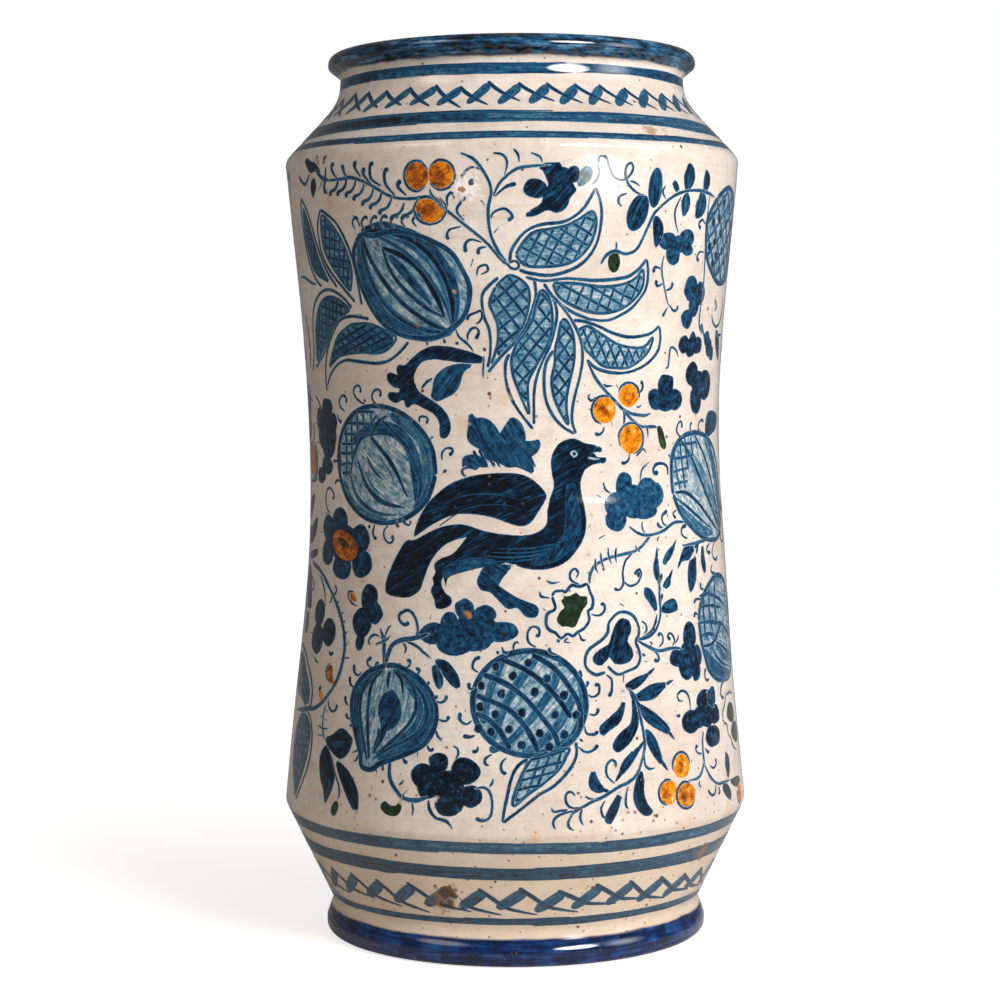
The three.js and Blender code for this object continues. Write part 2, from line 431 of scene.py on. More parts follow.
# Tree: strokes drawn one by one
def strokeTree(ribbons, wrap):
    tree, add, given = newGroup("paintStrokes", "Geometry", {"Paths": "Geometry", "Jar": "Object", "Step": 0.55,
        "Pigment": "Material"}, {"Geometry": "Geometry"})
    ribbon = add("Group", [given.outputs[0], given.outputs["Step"]], node_tree=ribbons)
    return layPigment(tree, add, given, wrap, ribbon)


# Tree: a border. The strokes of one repeat are set round the jar, each a little differently.
def borderTree(ribbons, wrap):
    tree, add, given = newGroup("paintBorder", "Geometry", {"Repeat": "Geometry", "Jar": "Object", "Count": 40,
        "Girth": 471.0, "Level": 0.0, "Play": 0.3, "Lean": 0.08, "Step": 0.55, "Seed": 0, "Pigment": "Material"},
        {"Geometry": "Geometry"})
    level = given.outputs["Level"]
    pitch = add("Math", [given.outputs["Girth"], given.outputs["Count"]], "DIVIDE")
    start = add("Math", [given.outputs["Girth"], -0.5], "MULTIPLY")
    inset = add("Math", [pitch, 0.5], "MULTIPLY")
    start = add("Math", [start, inset], "ADD")
    row = add("MeshLine", {"Count": given.outputs["Count"], "Start Location": add("CombineXYZ", [start, level]),
        "Offset": add("CombineXYZ", [pitch])})
    play = given.outputs["Play"]
    least = add("Math", [play, -1.0], "MULTIPLY")
    shift = add("RandomValue", {"Min": add("CombineXYZ", [least, least]), "Max": add("CombineXYZ", [play, play]),
        "Seed": given.outputs["Seed"]}, data_type="FLOAT_VECTOR")
    row = add("SetPosition", {"Geometry": row, "Offset": shift})
    lean = given.outputs["Lean"]
    back = add("Math", [lean, -1.0], "MULTIPLY")
    turn = add("RandomValue", {"Min": add("CombineXYZ", {2: back}), "Max": add("CombineXYZ", {2: lean}),
        "Seed": given.outputs["Seed"]}, data_type="FLOAT_VECTOR")
    turned = add("EulerToRotation", [turn])
    least, most = bands["sizes"]
    size = add("RandomValue", {"Min": least, "Max": most, "Seed": given.outputs["Seed"]}, data_type="FLOAT_VECTOR")
    units = add("InstanceOnPoints", {"Points": row, "Instance": given.outputs["Repeat"], "Rotation": turned,
        "Scale": size})
    units = add("RealizeInstances", [units])
    ribbon = add("Group", [units, given.outputs["Step"]], node_tree=ribbons)
    return layPigment(tree, add, given, wrap, ribbon)


# Tree: filled patches. Each point learns how far it is from its own patch's border.
def patchTree(wrap):
    tree, add, given = newGroup("paintPatches", "Geometry", {"Patches": "Geometry", "Jar": "Object",
        "Pigment": "Material"}, {"Geometry": "Geometry"})
    faces = add("InputMeshEdgeNeighbors")
    isBorder = add("Compare", {2: faces, 3: 1}, "EQUAL", data_type="INT")
    border = add("SeparateGeometry", {"Geometry": given.outputs[0], "Selection": isBorder}, domain="EDGE")
    own = add("InputNamedAttribute", ["patch"], data_type="INT")
    near = add("Proximity", {"Geometry": border, "Group ID": own, "Sample Group ID": own}, target_element="EDGES")
    edged = add("StoreNamedAttribute", {"Geometry": given.outputs[0], "Name": "edge",
        "Value": near.outputs["Distance"]})
    return layPigment(tree, add, given, wrap, edged)


# Tin glaze over buff clay: opaque cream, glossy, softly pitted, a little rippled from the wheel and the brush.
# Lengths in mm. Places are (girth from the middle of the front, height), as in the drawing.
glazeLook = {
    "cream": "#efe5d8", "blush": "#dfd0c1", "ash": "#c9beb5", "buff": "#cf9f76", "lowWall": "#e2c9a6",
    "bareClay": "#c39a72", "clayShade": "#a97e58",
    "mottleSize": 34, "fineMottleSize": 4.5,
    "speckColour": "#5d3f2c", "speckSpacing": 5.2, "speckShare": 0.32, "speckRadius": 0.5,
    "dustSpacing": 2.6, "dustShare": 0.4, "dustRadius": 0.38, "grainSize": 1.1, "grain": 0.6,
    "pitSpacing": 6.5, "pitShare": 0.22, "pitRadius": 0.3, "pitDepth": 0.25,
    "peelSize": 3.2, "peelDepth": 0.007, "ringPitch": 11, "ringDepth": 0.004,
    "footBulgeAt": 5.6, "footBulge": 0.0675, "wheelStreak": 0.22,
    # From none at the first height to most at the second: thin glaze, and a warm tint
    "thinLow": (75.0, 30.0), "warmLow": (52.0, 34.0, 0.0, 0.55), "thinPatchSize": 14, "raggedSize": 1.6,
    "gloss": 0.03, "glossPlay": 0.05,
    # (girth, height, radius, colour, strength): stains in the glaze and chips that show the clay
    "stains": [
        (-26, 22, 5.6, "#9a6c34", 0.75), (-23.5, 25.5, 3.4, "#5d3a18", 0.95), (-24.5, 20.5, 2.4, "#3c2612", 0.95),
        (-20.4, 22.6, 1.1, "#f0e2cf", 0.9),
        (-14, 250.5, 5.2, "#fbf4ec", 0.95), (-15.6, 249.4, 1.0, "#b07038", 0.9), (-12.6, 251.8, 1.0, "#2a3a44", 0.9),
        (-46.5, 233.4, 1.3, "#3e3a36", 0.7), (-26.4, 232.3, 1.1, "#3e332b", 0.8), (-32.5, 207.5, 1.6, "#8c7048", 0.6),
        (-19.2, 217.5, 0.8, "#c29a62", 0.8), (-57.5, 165, 0.9, "#5f4a33", 0.7),
        (49, 269.2, 3.2, "#b08b60", 0.85), (55.5, 269.8, 1.4, "#c3a47c", 0.7), (75.5, 32.5, 4.5, "#8a6a48", 0.75),
        (-15.4, 115.6, 1.5, "#b9793c", 0.9), (-24.5, 57, 1.2, "#d9c3b4", 0.7), (-21.5, 73.3, 0.6, "#7d4a34", 0.9),
        (27, 146.3, 0.9, "#b9a253", 0.7), (26, 143, 0.9, "#a98a4a", 0.7), (25.5, 134, 0.8, "#b59a5c", 0.6),
        (-7.5, 184, 0.9, "#8c4f34", 0.85), (-17.5, 176, 2.6, "#dcbb98", 0.6), (-3.5, 183.5, 3.4, "#e0bf9f", 0.5),
        (23, 253, 2.4, "#8d8478", 0.6), (38, 51.4, 0.7, "#6b4a30", 0.9), (33.6, 49.4, 0.6, "#8a6a48", 0.8),
        (44.6, 48, 0.6, "#7d5c40", 0.8), (62, 46.6, 0.7, "#5f4a33", 0.8), (-31, 57.6, 0.7, "#5d3f2c", 0.8),
        (-48, 56, 0.7, "#6b4a30", 0.8), (-45.6, 55.2, 0.5, "#5d3f2c", 0.8), (7, 59, 0.8, "#7d5c40", 0.7),
    ],
}

# Cobalt of the lip and the foot, brushed all round over the glaze
rimLook = {
    "lipFrom": 293.4, "footTo": 9.2, "ragged": 1.3,
    # The lip's ramp ends in bright flecks that are partly painted glints
    "lip": [(0.0, "#0c1722"), (0.28, "#0c1722"), (0.62, "#1f577d"), (1.0, "#6fa1b4")], "lipWorn": "#6d5348",
    "foot": [(0.0, "#050b1a"), (0.5, "#0b2656"), (1.0, "#265694")],
    "worn": (298.2, 299.7), "wiped": (63.4, 62.6), "wipedUnder": (5.0, 4.0),
}


def pointOnFront(girth, height):
    turn = girth / drawnRadius
    radius = min((p for p in jarSection()[:150] if p.x > 50), key=lambda p: abs(p.y - height)).x
    return Vector((radius * math.sin(turn), -radius * math.cos(turn), height)) * mm


# Group: the glaze that every material of the jar shares, so that paint and ground meet without a seam
def glazeGroup():
    look = glazeLook
    tree, add, _ = newGroup("tinGlazeSurface", "Shader", {}, {"Glaze": "Color", "Marks And Pit Shade": "Float",
        "Wear Colour": "Color", "Roughness": "Float", "Normal": "Vector"})
    place = add("TexCoord").outputs["Object"]
    inMm = add("VectorMath", {0: place, "Scale": 1 / mm}, "SCALE")
    at = add("SeparateXYZ", [inMm])

    mottle = add("TexNoise", {"Vector": inMm, "Scale": 1 / look["mottleSize"], "Detail": 4.0})
    mottle = add("MapRange", [mottle, 0.36, 0.66])
    fine = add("TexNoise", {"Vector": inMm, "Scale": 1 / look["fineMottleSize"], "Detail": 3.0})
    fine = add("MapRange", [fine, 0.45, 0.8, 0.0, 0.6])
    # The skin of the glaze is finer than this: it is drawn as coarse as it needs to show
    grain = add("TexNoise", {"Vector": inMm, "Scale": 1 / look["grainSize"], "Detail": 4.0, "Roughness": 0.75})
    grain = add("MapRange", [grain, 0.5, 0.72, 0.0, look["grain"]])
    # Faint streaks that run round the jar, where the wet glaze was brushed on the turning wheel
    turned = add("VectorMath", [inMm, (0.03, 0.03, 0.55)], "MULTIPLY")
    turned = add("TexNoise", {"Vector": turned, "Scale": 1.0, "Detail": 4.0, "Roughness": 0.6})
    turned = add("MapRange", [turned, 0.5, 0.7, 0.0, look["wheelStreak"]])
    # Buff clay shows through where the glaze is thin: low on the wall, at the hip and at the edges
    low = add("MapRange", [at.outputs[2], *look["thinLow"]])
    patchy = add("TexNoise", {"Vector": inMm, "Scale": 1 / look["thinPatchSize"], "Detail": 5.0, "Roughness": 0.65})
    patchy = add("MapRange", [patchy, 0.56, 0.74])
    thin = add("Math", [low, 0.65, 0.3], "MULTIPLY_ADD")
    thin = add("Math", [thin, patchy], "MULTIPLY")
    warm = add("MapRange", [at.outputs[2], *look["warmLow"]])

    glaze = srgb(look["cream"])
    for share, over in (
            (mottle, "blush"), (fine, "ash"), (grain, "ash"), (turned, "buff"), (thin, "buff"), (warm, "lowWall")):
        glaze = add("Mix", {0: share, 6: glaze, 7: srgb(look[over])}, data_type="RGBA")

    # Iron specks, brown dust and pinholes, each in a share of the cells of its own pattern
    wear = []
    for spacing, usual, radius, stretch in (
            (look["speckSpacing"], look["speckShare"], look["speckRadius"], 1.0),
            (look["dustSpacing"], look["dustShare"], look["dustRadius"], 1.2),
            (look["pitSpacing"], look["pitShare"], look["pitRadius"], 1.37)):
        moved = add("VectorMath", [inMm, (3.1, 7.7, 5.3 * stretch)], "ADD")
        cells = add("TexVoronoi", {"Vector": moved, "Scale": 1 / spacing})
        which = add("SeparateColor", [cells.outputs["Color"]])
        share = add("Math", [low, 2.2 * usual, 0.7 * usual], "MULTIPLY_ADD")
        share = add("Math", [patchy, 1.5 * usual, share], "MULTIPLY_ADD")
        chosen = add("Math", [which.outputs[0], share], "LESS_THAN")
        size = add("Math", [which.outputs[1], radius / spacing, 0.5 * radius / spacing], "MULTIPLY_ADD")
        inside = add("Math", [size, cells.outputs["Distance"]], "SUBTRACT")
        inside = add("Math", [inside, spacing / 0.18], "MULTIPLY", use_clamp=True)
        wear.append(add("Math", [inside, chosen], "MULTIPLY"))
    specks, dust, pits = wear
    specks = add("Math", [add("Math", [dust, 0.75], "MULTIPLY"), specks], "MAXIMUM")
    ragged = add("TexNoise", {"Vector": inMm, "Scale": 1 / look["raggedSize"], "Detail": 3.0})
    worn, colour = specks, srgb(look["speckColour"])
    for girth, height, radius, stain, strength in look["stains"]:
        centre = pointOnFront(girth, height) / mm
        gap = add("VectorMath", [inMm, centre], "DISTANCE")
        near = add("Math", [ragged, -2.2 * radius, 1.95 * radius], "MULTIPLY_ADD")
        near = add("Math", [near, gap], "SUBTRACT")
        spot = add("MapRange", [near, -0.25 * radius, 0.5 * radius, 0.0, strength], interpolation_type="SMOOTHSTEP")
        inSpot = add("Math", [spot, 0.02], "GREATER_THAN")
        colour = add("Mix", {0: inSpot, 6: colour, 7: srgb(stain)}, data_type="RGBA")
        worn = add("Math", [worn, spot], "MAXIMUM")
    # The pinholes also darken the colour: painted shade in their hollows, joined to the specks and stains
    pitShade = add("Math", [pits, 0.55], "MULTIPLY")
    worn = add("Math", [worn, pitShade], "MAXIMUM")

    # Relief in mm: throwing rings, the skin of the glaze, pinholes
    wave = add("Math", [at.outputs[2], 2 * math.pi / look["ringPitch"], 0.0], "MULTIPLY_ADD")
    drift = add("TexNoise", {"Vector": inMm, "Scale": 1 / 45})
    drift = add("Math", [drift, 7.0, wave], "MULTIPLY_ADD")
    rings = add("Math", [drift], "SINE")
    rings = add("Math", [rings, look["ringDepth"]], "MULTIPLY")
    peel = add("TexNoise", {"Vector": inMm, "Scale": 1 / look["peelSize"], "Detail": 2.0})
    relief = add("Math", [peel, look["peelDepth"], rings], "MULTIPLY_ADD")
    relief = add("Math", [pits, -look["pitDepth"], relief], "MULTIPLY_ADD")
    # The foot's coat of cobalt lies thickest in its middle, so that it mirrors the window in a narrow gleam
    offMiddle = add("MapRange", [at.outputs[2], look["footBulgeAt"] - 3, look["footBulgeAt"] + 3, -3.0, 3.0])
    bulge = add("Math", [offMiddle, offMiddle], "MULTIPLY")
    relief = add("Math", [bulge, -look["footBulge"], relief], "MULTIPLY_ADD")
    bump = add("Bump", {"Strength": 1.0, "Distance": mm, "Height": relief})
    dull = add("TexNoise", {"Vector": inMm, "Scale": 1 / 9, "Detail": 5.0})
    rough = add("Math", [dull, look["glossPlay"], look["gloss"]], "MULTIPLY_ADD")
    rough = add("Math", [worn, 0.3, rough], "MULTIPLY_ADD")
    # The marks also carry the painted shade of the pinholes
    add("GroupOutput", [glaze, worn, colour, rough, bump])
    return tree


# Glazed earthenware: a glossy dielectric, with IOR 1.5 like window glass
def glazedShader(add, colour, surface, rough=None):
    shader = add("BsdfPrincipled", {"Base Color": colour, "Roughness": rough or surface.outputs["Roughness"],
        "Normal": surface.outputs["Normal"], "IOR": 1.5})
    add("OutputMaterial", {"Surface": shader})


# The jar itself: cream glaze, a band of cobalt over the lip and another on the foot, bare clay underneath
def makeJarMaterial(surfaceTree):
    look = rimLook
    material = bpy.data.materials.new("tinGlazedEarthenware")
    add = freshNodes(material)
    surface = add("Group", node_tree=surfaceTree)
    place = add("TexCoord").outputs["Object"]
    inMm = add("VectorMath", {0: place, "Scale": 1 / mm}, "SCALE")
    at = add("SeparateXYZ", [inMm])
    ragged = add("TexNoise", {"Vector": inMm, "Scale": 1 / 9, "Detail": 4.0})
    height = add("Math", [ragged, look["ragged"], at.outputs[2]], "MULTIPLY_ADD")
    # Streaks that run round the jar, from the brush held against the turning wheel
    brushed = add("VectorMath", [inMm, (0.06, 0.06, 0.9)], "MULTIPLY")
    streaks = add("TexNoise", {"Vector": brushed, "Scale": 1.0, "Detail": 5.0, "Roughness": 0.6})
    pools = add("TexNoise", {"Vector": inMm, "Scale": 1 / 7, "Detail": 4.0, "Roughness": 0.6})
    pooled = add("Math", [pools, streaks], "ADD")
    # The lip is scuffed: dark and bright flecks a few millimetres long, the bright ones partly painted glints
    flecked = add("VectorMath", [inMm, (0.15, 0.15, 0.6)], "MULTIPLY")
    flecks = add("TexNoise", {"Vector": flecked, "Scale": 1.0, "Detail": 6.0, "Roughness": 0.74})
    scuffsAndGlints = add("Math", [flecks, 1.6, streaks], "MULTIPLY_ADD")

    lip = colourRamp(add("ValToRGB", [add("MapRange", [scuffsAndGlints, 0.98, 1.66])]), look["lip"])
    onLip = add("MapRange", [height, look["lipFrom"], look["lipFrom"] + 0.6])
    onTop = add("MapRange", [at.outputs[2], *look["worn"]])
    worn = add("TexNoise", {"Vector": inMm, "Scale": 1 / 6, "Detail": 6.0, "Roughness": 0.7})
    worn = add("MapRange", [worn, 0.52, 0.68])
    worn = add("Math", [worn, onTop], "MULTIPLY")
    lipColour = add("Mix", {0: worn, 6: lip, 7: srgb(look["lipWorn"])}, data_type="RGBA")

    foot = colourRamp(add("ValToRGB", [add("MapRange", [pooled, 0.72, 1.3])]), look["foot"])
    onFoot = add("MapRange", [height, look["footTo"] + 1.0, look["footTo"] + 0.3])

    colour = surface.outputs["Glaze"]
    colour = add("Mix", {0: onLip, 6: colour, 7: lipColour}, data_type="RGBA")
    colour = add("Mix", {0: onFoot, 6: colour, 7: foot}, data_type="RGBA")
    # Specks and stains, and the painted shade of the pinholes
    colour = add("Mix", {0: surface.outputs["Marks And Pit Shade"], 6: colour, 7: surface.outputs["Wear Colour"]}, data_type="RGBA")

    # The foot ring and the hollow inside it were wiped clean of glaze
    girth = add("VectorMath", [inMm, (1.0, 1.0, 0.0)], "MULTIPLY")
    radius = add("VectorMath", [girth], "LENGTH")
    under = add("MapRange", [radius, *look["wiped"]])
    lowest = add("MapRange", [at.outputs[2], *look["wipedUnder"]])
    bare = add("Math", [under, lowest], "MULTIPLY")
    clay = add("Mix", {0: pools, 6: srgb(glazeLook["bareClay"]), 7: srgb(glazeLook["clayShade"])}, data_type="RGBA")
    colour = add("Mix", {0: bare, 6: colour, 7: clay}, data_type="RGBA")
    rough = add("Math", [bare, 0.7, surface.outputs["Roughness"]], "MULTIPLY_ADD")
    rough = add("Math", [worn, 0.25, rough], "MULTIPLY_ADD")
    glazedShader(add, colour, surface, rough)
    return material


# Painter's colours, from thin to pooled. Each is fired into the glaze, so it shares its gloss.
pigments = {
    # Cobalt: grey-blue where thin, clear blue in the line, almost black where it pooled, greyer low on the wall
    "cobaltInGlaze": {
        "greyed": ("#4d5a57", 0.7),
        "ramp": [(0.0, "#c8cdcc"), (0.2, "#9fb2ba"), (0.35, "#6e93a2"), (0.5, "#43728a"),
                 (0.63, "#225a7b"), (0.76, "#114164"), (0.88, "#081f33"), (1.0, "#030811")],
        "streak": 0.2, "bare": 0.3, "pool": 0.27, "poolSize": 2.2, "rimTone": 0.66, "rimShare": 0.55,
    },
    # Antimony yellow with iron: orange, with darker grains where it lies thick
    "antimonyOrangeInGlaze": {
        "ramp": [(0.0, "#e7c489"), (0.3, "#eb9f1a"), (0.48, "#de840b"), (0.62, "#bb5c0c"), (0.78, "#6b3c12"),
                 (1.0, "#2f2a1c")],
        "streak": 0.14, "bare": 0.05, "pool": 0.42, "poolSize": 2.8, "rimTone": 0.56, "rimShare": 0.3,
    },
    # Copper with a little cobalt: a dark bottle green
    "copperGreenInGlaze": {
        "ramp": [(0.0, "#a9b19c"), (0.35, "#4a5d40"), (0.65, "#223824"), (1.0, "#0f1812")],
        "streak": 0.15, "bare": 0.15, "pool": 0.5, "poolSize": 2.4, "rimTone": 0.72, "rimShare": 0.5,
    },
}


# What all pigments share. The first turns noise into a play from -1 to 1. A blush of grey lies low on the wall, in
# mm. Along a border the tone changes over the rim's reach, and paint fades out over its body's reach, in mm.
paintLook = {
    "play": (0.33, 0.67, -1.0, 1.0), "threads": (0.48, 0.76, 0.0), "mostPlay": 1.3,
    "greyLow": (60.0, 38.0, 0.0, 0.45), "waver": 0.8, "rimReach": (0.05, 0.8), "bodyReach": (-0.02, 0.2),
    "coverFrom": (0.0, 0.14),
}


def makePigment(name, surfaceTree):
    look = pigments[name]
    material = bpy.data.materials.new(name)
    add = freshNodes(material)
    surface = add("Group", node_tree=surfaceTree)
    tone, ground, edge = (
        add("Attribute", attribute_name=label).outputs["Fac"] for label in ("tone", "ground", "edge"))
    flow = add("Attribute", attribute_name="flow").outputs["Vector"]
    place = add("TexCoord").outputs["Object"]
    inMm = add("VectorMath", {0: place, "Scale": 1 / mm}, "SCALE")
    # Bristle streaks 0.5 mm wide along the stroke, and pools and grains some mm across
    streak = add("TexNoise", {"Vector": flow, "Scale": 1.5, "Detail": 4.0, "Roughness": 0.62})
    streak = add("MapRange", [streak, *paintLook["play"]])
    # Bare threads between the bristles, here and there
    bare = add("TexNoise", {"Vector": flow, "Scale": 1.0, "Detail": 4.0, "Roughness": 0.6, "Distortion": 0.5})
    bare = add("MapRange", [bare, *paintLook["threads"], look["bare"]])
    pool = add("TexNoise", {"Vector": inMm, "Scale": 1 / look["poolSize"], "Detail": 6.0, "Roughness": 0.75})
    pool = add("MapRange", [pool, *paintLook["play"]])
    # The play is widest in washes, and in dark fills only the bare threads are bright
    strength = add("Math", [paintLook["mostPlay"], tone], "SUBTRACT")
    play = add("Math", [pool, look["pool"]], "MULTIPLY")
    play = add("Math", [streak, look["streak"], play], "MULTIPLY_ADD")
    varied = add("Math", [play, strength, tone], "MULTIPLY_ADD")
    threads = add("Math", [bare, tone], "MULTIPLY")
    varied = add("Math", [varied, threads], "SUBTRACT")
    # Along its border the paint is thinner in dark fills and thicker in washes
    waver = add("TexNoise", {"Vector": inMm, "Scale": 1 / paintLook["waver"], "Detail": 1.0})
    reach = add("Math", [waver, 0.3, -0.15], "MULTIPLY_ADD")
    reach = add("Math", [reach, edge], "ADD")
    rim = add("MapRange", [reach, *paintLook["rimReach"], look["rimShare"], 0.0])
    varied = add("Mix", {0: rim, 2: varied, 3: look["rimTone"]})
    body = add("MapRange", [reach, *paintLook["bodyReach"]], interpolation_type="SMOOTHSTEP")
    final = add("Mix", {0: body, 2: ground, 3: varied})
    colour = colourRamp(add("ValToRGB", [final]), look["ramp"])
    if "greyed" in look:
        height = add("SeparateXYZ", [inMm]).outputs[2]
        low = add("MapRange", [height, *paintLook["greyLow"]])
        low = add("Math", [low, look["greyed"][1]], "MULTIPLY")
        colour = add("Mix", {0: low, 6: colour, 7: srgb(look["greyed"][0])}, data_type="RGBA")
    cover = add("MapRange", [final, *paintLook["coverFrom"]])
    colour = add("Mix", {0: cover, 6: surface.outputs["Glaze"], 7: colour}, data_type="RGBA")
    # Specks and stains, and the painted shade of the pinholes
    colour = add("Mix", {0: surface.outputs["Marks And Pit Shade"], 6: colour, 7: surface.outputs["Wear Colour"]}, data_type="RGBA")
    glazedShader(add, colour, surface)
    return material


# The painting is drawn flat, in mm: first the place along the girth, as measured on a jar 75 mm in radius, with 0
# in the middle of the photographed side and its right positive, and then the height above the table.
brushes = {"bold": 1.8, "outline": 1.2, "fine": 0.98, "hatch": 0.95}
layers = {"washes": 0.03, "fills": 0.045, "orange": 0.062, "green": 0.045, "shades": 0.052, "lines": 0.072}
drawing = {"washes": [], "fills": [], "orange": [], "green": [], "frontLines": [], "backLines": []}
frontEdge = 108
keptTurn = 1.25  # radians: an outline keeps corners that turn more than this
pointedTurn = 2.1  # radians: a leaf runs out in a fine point where its outline turns more than this
hand = random.Random(11)
inPlace = {"from": Vector((0, 0)), "to": Vector((0, 0)), "turn": 0.0, "mirror": False}
placing = dict(inPlace)


# A path in words is its first point and then the steps from each point to the next
def xy(path):
    if not isinstance(path, str):
        return [Vector(p) for p in path]
    points = [(0, 0)]
    for step in path.split():
        points.append([round(at + float(move), 1) for at, move in zip(points[-1], step.split(","))])
    return [Vector(point) for point in points[1:]]


def placed(point):
    off = point - placing["from"]
    if placing["mirror"]:
        off.x = -off.x
    return placing["to"] + Matrix.Rotation(math.radians(placing["turn"]), 2) @ off


# Paints a motif again elsewhere: its own point goes to another, turned or mirrored
def again(motif, own, to, turn=0.0, mirror=False):
    placing.update({"from": Vector(own), "to": Vector(to), "turn": turn, "mirror": mirror})
    motif()
    placing.update(inPlace)


def isBack(points):
    return abs(sum(p.x for p in points) / len(points)) > frontEdge


# One stroke. It swells and thins as its ends say: a dot is where the loaded brush was set down or lifted.
def brush(path, width="outline", tone=0.76, ends="taper", ground=0.0):
    points = [placed(p) for p in xy(path)]
    broad = brushes.get(width, width)
    shape = {"taper": (0.6, 0.35), "dot": (0.6, 1.75), "even": (1.0, 1.0), "lift": (1.1, 0.25)}[ends]
    widths = [broad * hand.uniform(0.88, 1.12) for _ in points]
    widths[0], widths[-1] = broad * shape[0], broad * shape[1]
    if ends == "dot" and len(widths) > 2:
        widths[-2] = broad * 1.2
    drawing["backLines" if isBack(points) else "frontLines"].append({
        "points": points, "widths": widths, "tone": tone + hand.uniform(-0.02, 0.1), "ground": ground,
        "layer": "shades" if broad > 2 and ground else "lines"})


# Small strokes that end in a dot
def curls(text, width="fine", tone=0.78, ends="dot"):
    for path in text.split(";"):
        brush(path, width, tone, ends)


# Small strokes that end in a point
def wisps(text):
    curls(text, ends="taper")


# A stroke all round an outline
def edging(outline, width="bold", tone=0.76, ground=0.0):
    loop = xy(outline)
    brush(loop + loop[:1], width, tone, "even", ground)


# A closed outline made smooth, with its sharp corners kept
def smoothLoop(points, step=0.8):
    count = len(points)
    corner = []
    for i, point in enumerate(points):
        a, b = point - points[i - 1], points[(i + 1) % count] - point
        corner.append(a.length > 0 and b.length > 0 and a.angle(b) > keptTurn)
    loop = []
    for i in range(count):
        a, b, c, d = (points[(i + k) % count] for k in (-1, 0, 1, 2))
        a, d = (b if corner[i] else a), (c if corner[(i + 1) % count] else d)
        steps = max(1, round((c - b).length / step))
        for k in range(steps):
            t = k / steps
            square, cube = (2 * a - 5 * b + 4 * c - d) * t ** 2, (3 * b - a - 3 * c + d) * t ** 3
            loop.append(0.5 * (2 * b + (c - a) * t + square + cube))
    return loop


# A filled shape, of one outline or of several that run together. The brush went along the grain, in degrees, or
# outward from a heart.
def patch(outlines, tone=0.86, grain=0.0, layer="fills", ground=0.0, over=0, heart=None):
    outlines = [outlines] if isinstance(outlines, str) or isinstance(outlines[0], (tuple, Vector)) else outlines
    loops = [smoothLoop([placed(p) for p in xy(outline)]) for outline in outlines]
    grain = math.radians(grain)
    if placing["mirror"]:
        grain = math.pi - grain
    drawing[layer].append({
        "loops": loops, "tone": tone + hand.uniform(-0.04, 0.04), "ground": ground, "over": over,
        "grain": grain + math.radians(placing["turn"]), "heart": heart and placed(heart)})


# A leaf that the brush left in a fine point wherever its outline turns sharply back
def pointedLeaf(outline, tone=0.86, grain=0.0):
    patch(outline, tone, grain)
    points = xy(outline)
    for i, point in enumerate(points):
        a, b = point - points[i - 1], points[(i + 1) % len(points)] - point
        if a.angle(b) > pointedTurn:
            out = (a.normalized() - b.normalized()).normalized()
            brush([point - out * 2.4, point - out * 0.8, point + out * 1.3], 1.1, tone, "lift", tone - 0.1)


# Hatching: parallel strokes at a slant, cut off at an outline
def hatch(outline, spacing, slants, width="hatch", tone=0.62, ground=0.3, inset=0.25):
    loop = smoothLoop(xy(outline))
    for slant in slants:
        ahead = Vector((math.cos(math.radians(slant)), math.sin(math.radians(slant))))
        side = Vector((-ahead.y, ahead.x))
        offsets = [p.dot(side) for p in loop]
        level = min(offsets) + spacing * hand.uniform(0.4, 0.8)
        while level < max(offsets):
            crossings = []
            for a, b in zip(loop, loop[1:] + loop[:1]):
                if (a.dot(side) - level) * (b.dot(side) - level) < 0:
                    share = (level - a.dot(side)) / (b - a).dot(side)
                    crossings.append((a + (b - a) * share).dot(ahead))
            crossings.sort()
            for low, high in zip(crossings[::2], crossings[1::2]):
                if high - low > 1.6:
                    bow = side * hand.uniform(-0.25, 0.25)
                    tilt = side * hand.uniform(-0.3, 0.3)
                    line = [ahead * (low + inset) + side * level - tilt,
                            ahead * (low + high) / 2 + side * level + bow,
                            ahead * (high - inset) + side * level + tilt]
                    brush(line, width, tone + hand.uniform(-0.1, 0.06), "even", ground)
            level += spacing * hand.uniform(0.85, 1.15)


def ellipse(x, z, across, up, turn=0.0, points=12):
    spin = Matrix.Rotation(math.radians(turn), 2)
    angles = [2 * math.pi * i / points for i in range(points)]
    return [Vector((x, z)) + spin @ Vector((across * math.cos(a), up * math.sin(a))) for a in angles]


# A flower in one dark mass of petals, each brushed outward from the heart: "x,z,across,up" for each petal
def blossom(petals, tone=0.88):
    petals = [[float(v) for v in petal.split(",")] for petal in petals.split()]
    heart = sum((Vector(p[:2]) for p in petals), Vector((0, 0))) / len(petals)
    shapes = []
    for x, z, *sizes in petals:
        petal = ellipse(x, z, sizes[0], sizes[-1], 0, 9)
        shapes.append([p + Vector((hand.uniform(-0.3, 0.3), hand.uniform(-0.3, 0.3))) for p in petal])
    patch(shapes, tone, heart=heart)


# A berry: a daub of orange with a blue line along part of its edge
def berry(x, z, across, up, start=100, sweep=250, tone=0.46):
    patch([p + Vector((hand.uniform(-0.15, 0.15), hand.uniform(-0.15, 0.15))) for p in ellipse(x, z, across, up)],
        tone, 40, "orange")
    patch(ellipse(x - 0.7, z - 0.4, across * 0.5, up * 0.45, 20, 9), tone + 0.16, 40, "orange", tone, 1)
    angles = [math.radians(start + sweep * i / 6) for i in range(7)]
    brush([Vector((x + (across + 0.2) * math.cos(a), z + (up + 0.2) * math.sin(a))) for a in angles], "fine", 0.78)


# Dots set between the stripes of a fruit
def dots(places):
    for x, z in xy(places):
        patch([p + Vector((hand.uniform(-0.2, 0.2), hand.uniform(-0.2, 0.2))) for p in ellipse(x, z, 1.5, 1.6, 0, 7)],
            0.98, 90, ground=0.28, over=4)


